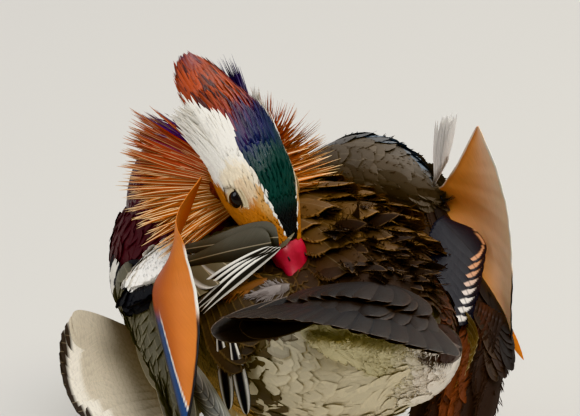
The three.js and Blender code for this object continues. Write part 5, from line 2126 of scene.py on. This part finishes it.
# Leathery skin in small scales, so the light breaks up over shanks and webs
LEG = PlainFinish("leg scales", roughness=0.45, colour="#c4842c", second="#a86a24", grain_mm=1.6, bump=0.5,
                  cells=True)
# Dark dense horn with a dull shine
CLAW = PlainFinish("claw horn", roughness=0.35, colour="#231b16", second="#342a22", bump=0.1)
# Matt pale board, which throws soft light up at the belly
FLOOR = PlainFinish("pale floor", roughness=0.8, colour="#cfccc6", second="#cfccc6", bump=0.0)


# The stage


class Stage:
    """Floor, light and camera."""

    # What the camera looks at, in millimetres of the bird's frame, and the way back from it
    target = np.array([-38.68, 19.45, 173.59])
    back = np.array([-0.7863, 0.4913, 0.3746])
    distance_mm = 3000
    lens_mm = 381.6
    sensor_mm = 36.0

    def build(self) -> None:
        """Sets up the stage."""
        self.floor()
        self.light("key", heading(175, 62), 3.2, 1.6, 62, (1.0, 0.98, 0.95))
        self.light("fill", heading(60, 35), 3.5, 2.2, 26, (0.93, 0.96, 1.0))
        self.light("rim", heading(285, 50), 3.0, 1.4, 30, (1.0, 0.97, 0.92))
        world = bpy.data.worlds.new("soft room")
        world.use_nodes = True
        world.node_tree.nodes["Background"].inputs[0].default_value = (0.82, 0.84, 0.86, 1)
        world.node_tree.nodes["Background"].inputs[1].default_value = 0.55
        bpy.context.scene.world = world
        bpy.context.scene.view_settings.view_transform = "Khronos PBR Neutral"
        self.camera()

    def floor(self) -> None:
        """A wide pale floor, flat and level with the soles."""
        mesh = bpy.data.meshes.new("floor")
        mesh.from_pydata([(-6, -6, 0), (6, -6, 0), (6, 6, 0), (-6, 6, 0)], [], [(0, 1, 2, 3)])
        mesh.materials.append(FLOOR.material())
        obj = bpy.data.objects.new("floor", mesh)
        bpy.context.scene.collection.objects.link(obj)

    def light(self, name: str, way: Array, distance: float, size: float, power: float, colour: tuple) -> None:
        """A soft area light that looks at the bird.

        Args:
            name: The light's name.
            way: The way to it from the bird.
            distance: How far off it is, in metres.
            size: Its width in metres.
            power: Its power in watts.
            colour: Its linear colour.
        """
        data = bpy.data.lights.new(name, "AREA")
        data.shape, data.size, data.energy, data.color = "DISK", size, power, colour
        obj = bpy.data.objects.new(name, data)
        obj.location = Vector(way * distance) + Vector((0, 0, 0.1))
        obj.rotation_euler = Vector(way).to_track_quat("Z", "Y").to_euler()
        bpy.context.scene.collection.objects.link(obj)

    def camera(self) -> None:
        """The photo's view."""
        data = bpy.data.cameras.new("camera")
        data.sensor_fit, data.sensor_width, data.lens = "HORIZONTAL", self.sensor_mm, self.lens_mm
        data.clip_start, data.clip_end = 0.1, 50
        obj = bpy.data.objects.new("camera", data)
        obj.location = Vector((self.target + self.distance_mm * self.back + Plan.shift) * MM)
        obj.rotation_euler = Vector(self.back).to_track_quat("Z", "Y").to_euler()
        bpy.context.scene.collection.objects.link(obj)
        bpy.context.scene.camera = obj


def size_file() -> None:
    """Updates the view layer."""
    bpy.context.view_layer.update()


def main() -> None:
    """Builds the bird on its frame, the stage and the camera."""
    logging.basicConfig(level=logging.INFO, format="%(message)s")
    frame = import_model()
    size_file()
    low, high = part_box("eye_right")
    middle = np.array([(a + b) / 2 for a, b in zip(low, high)]) / MM
    Plan.shift = middle - Plan.head_axes.at(Plan.eye_along, -Plan.eye_out, Plan.eye_up)
    LOG.info("shift %s", np.round(Plan.shift, 3))
    Duck().build(frame)
    Stage().build()
    size_file()


if __name__ == "__main__":
    main()
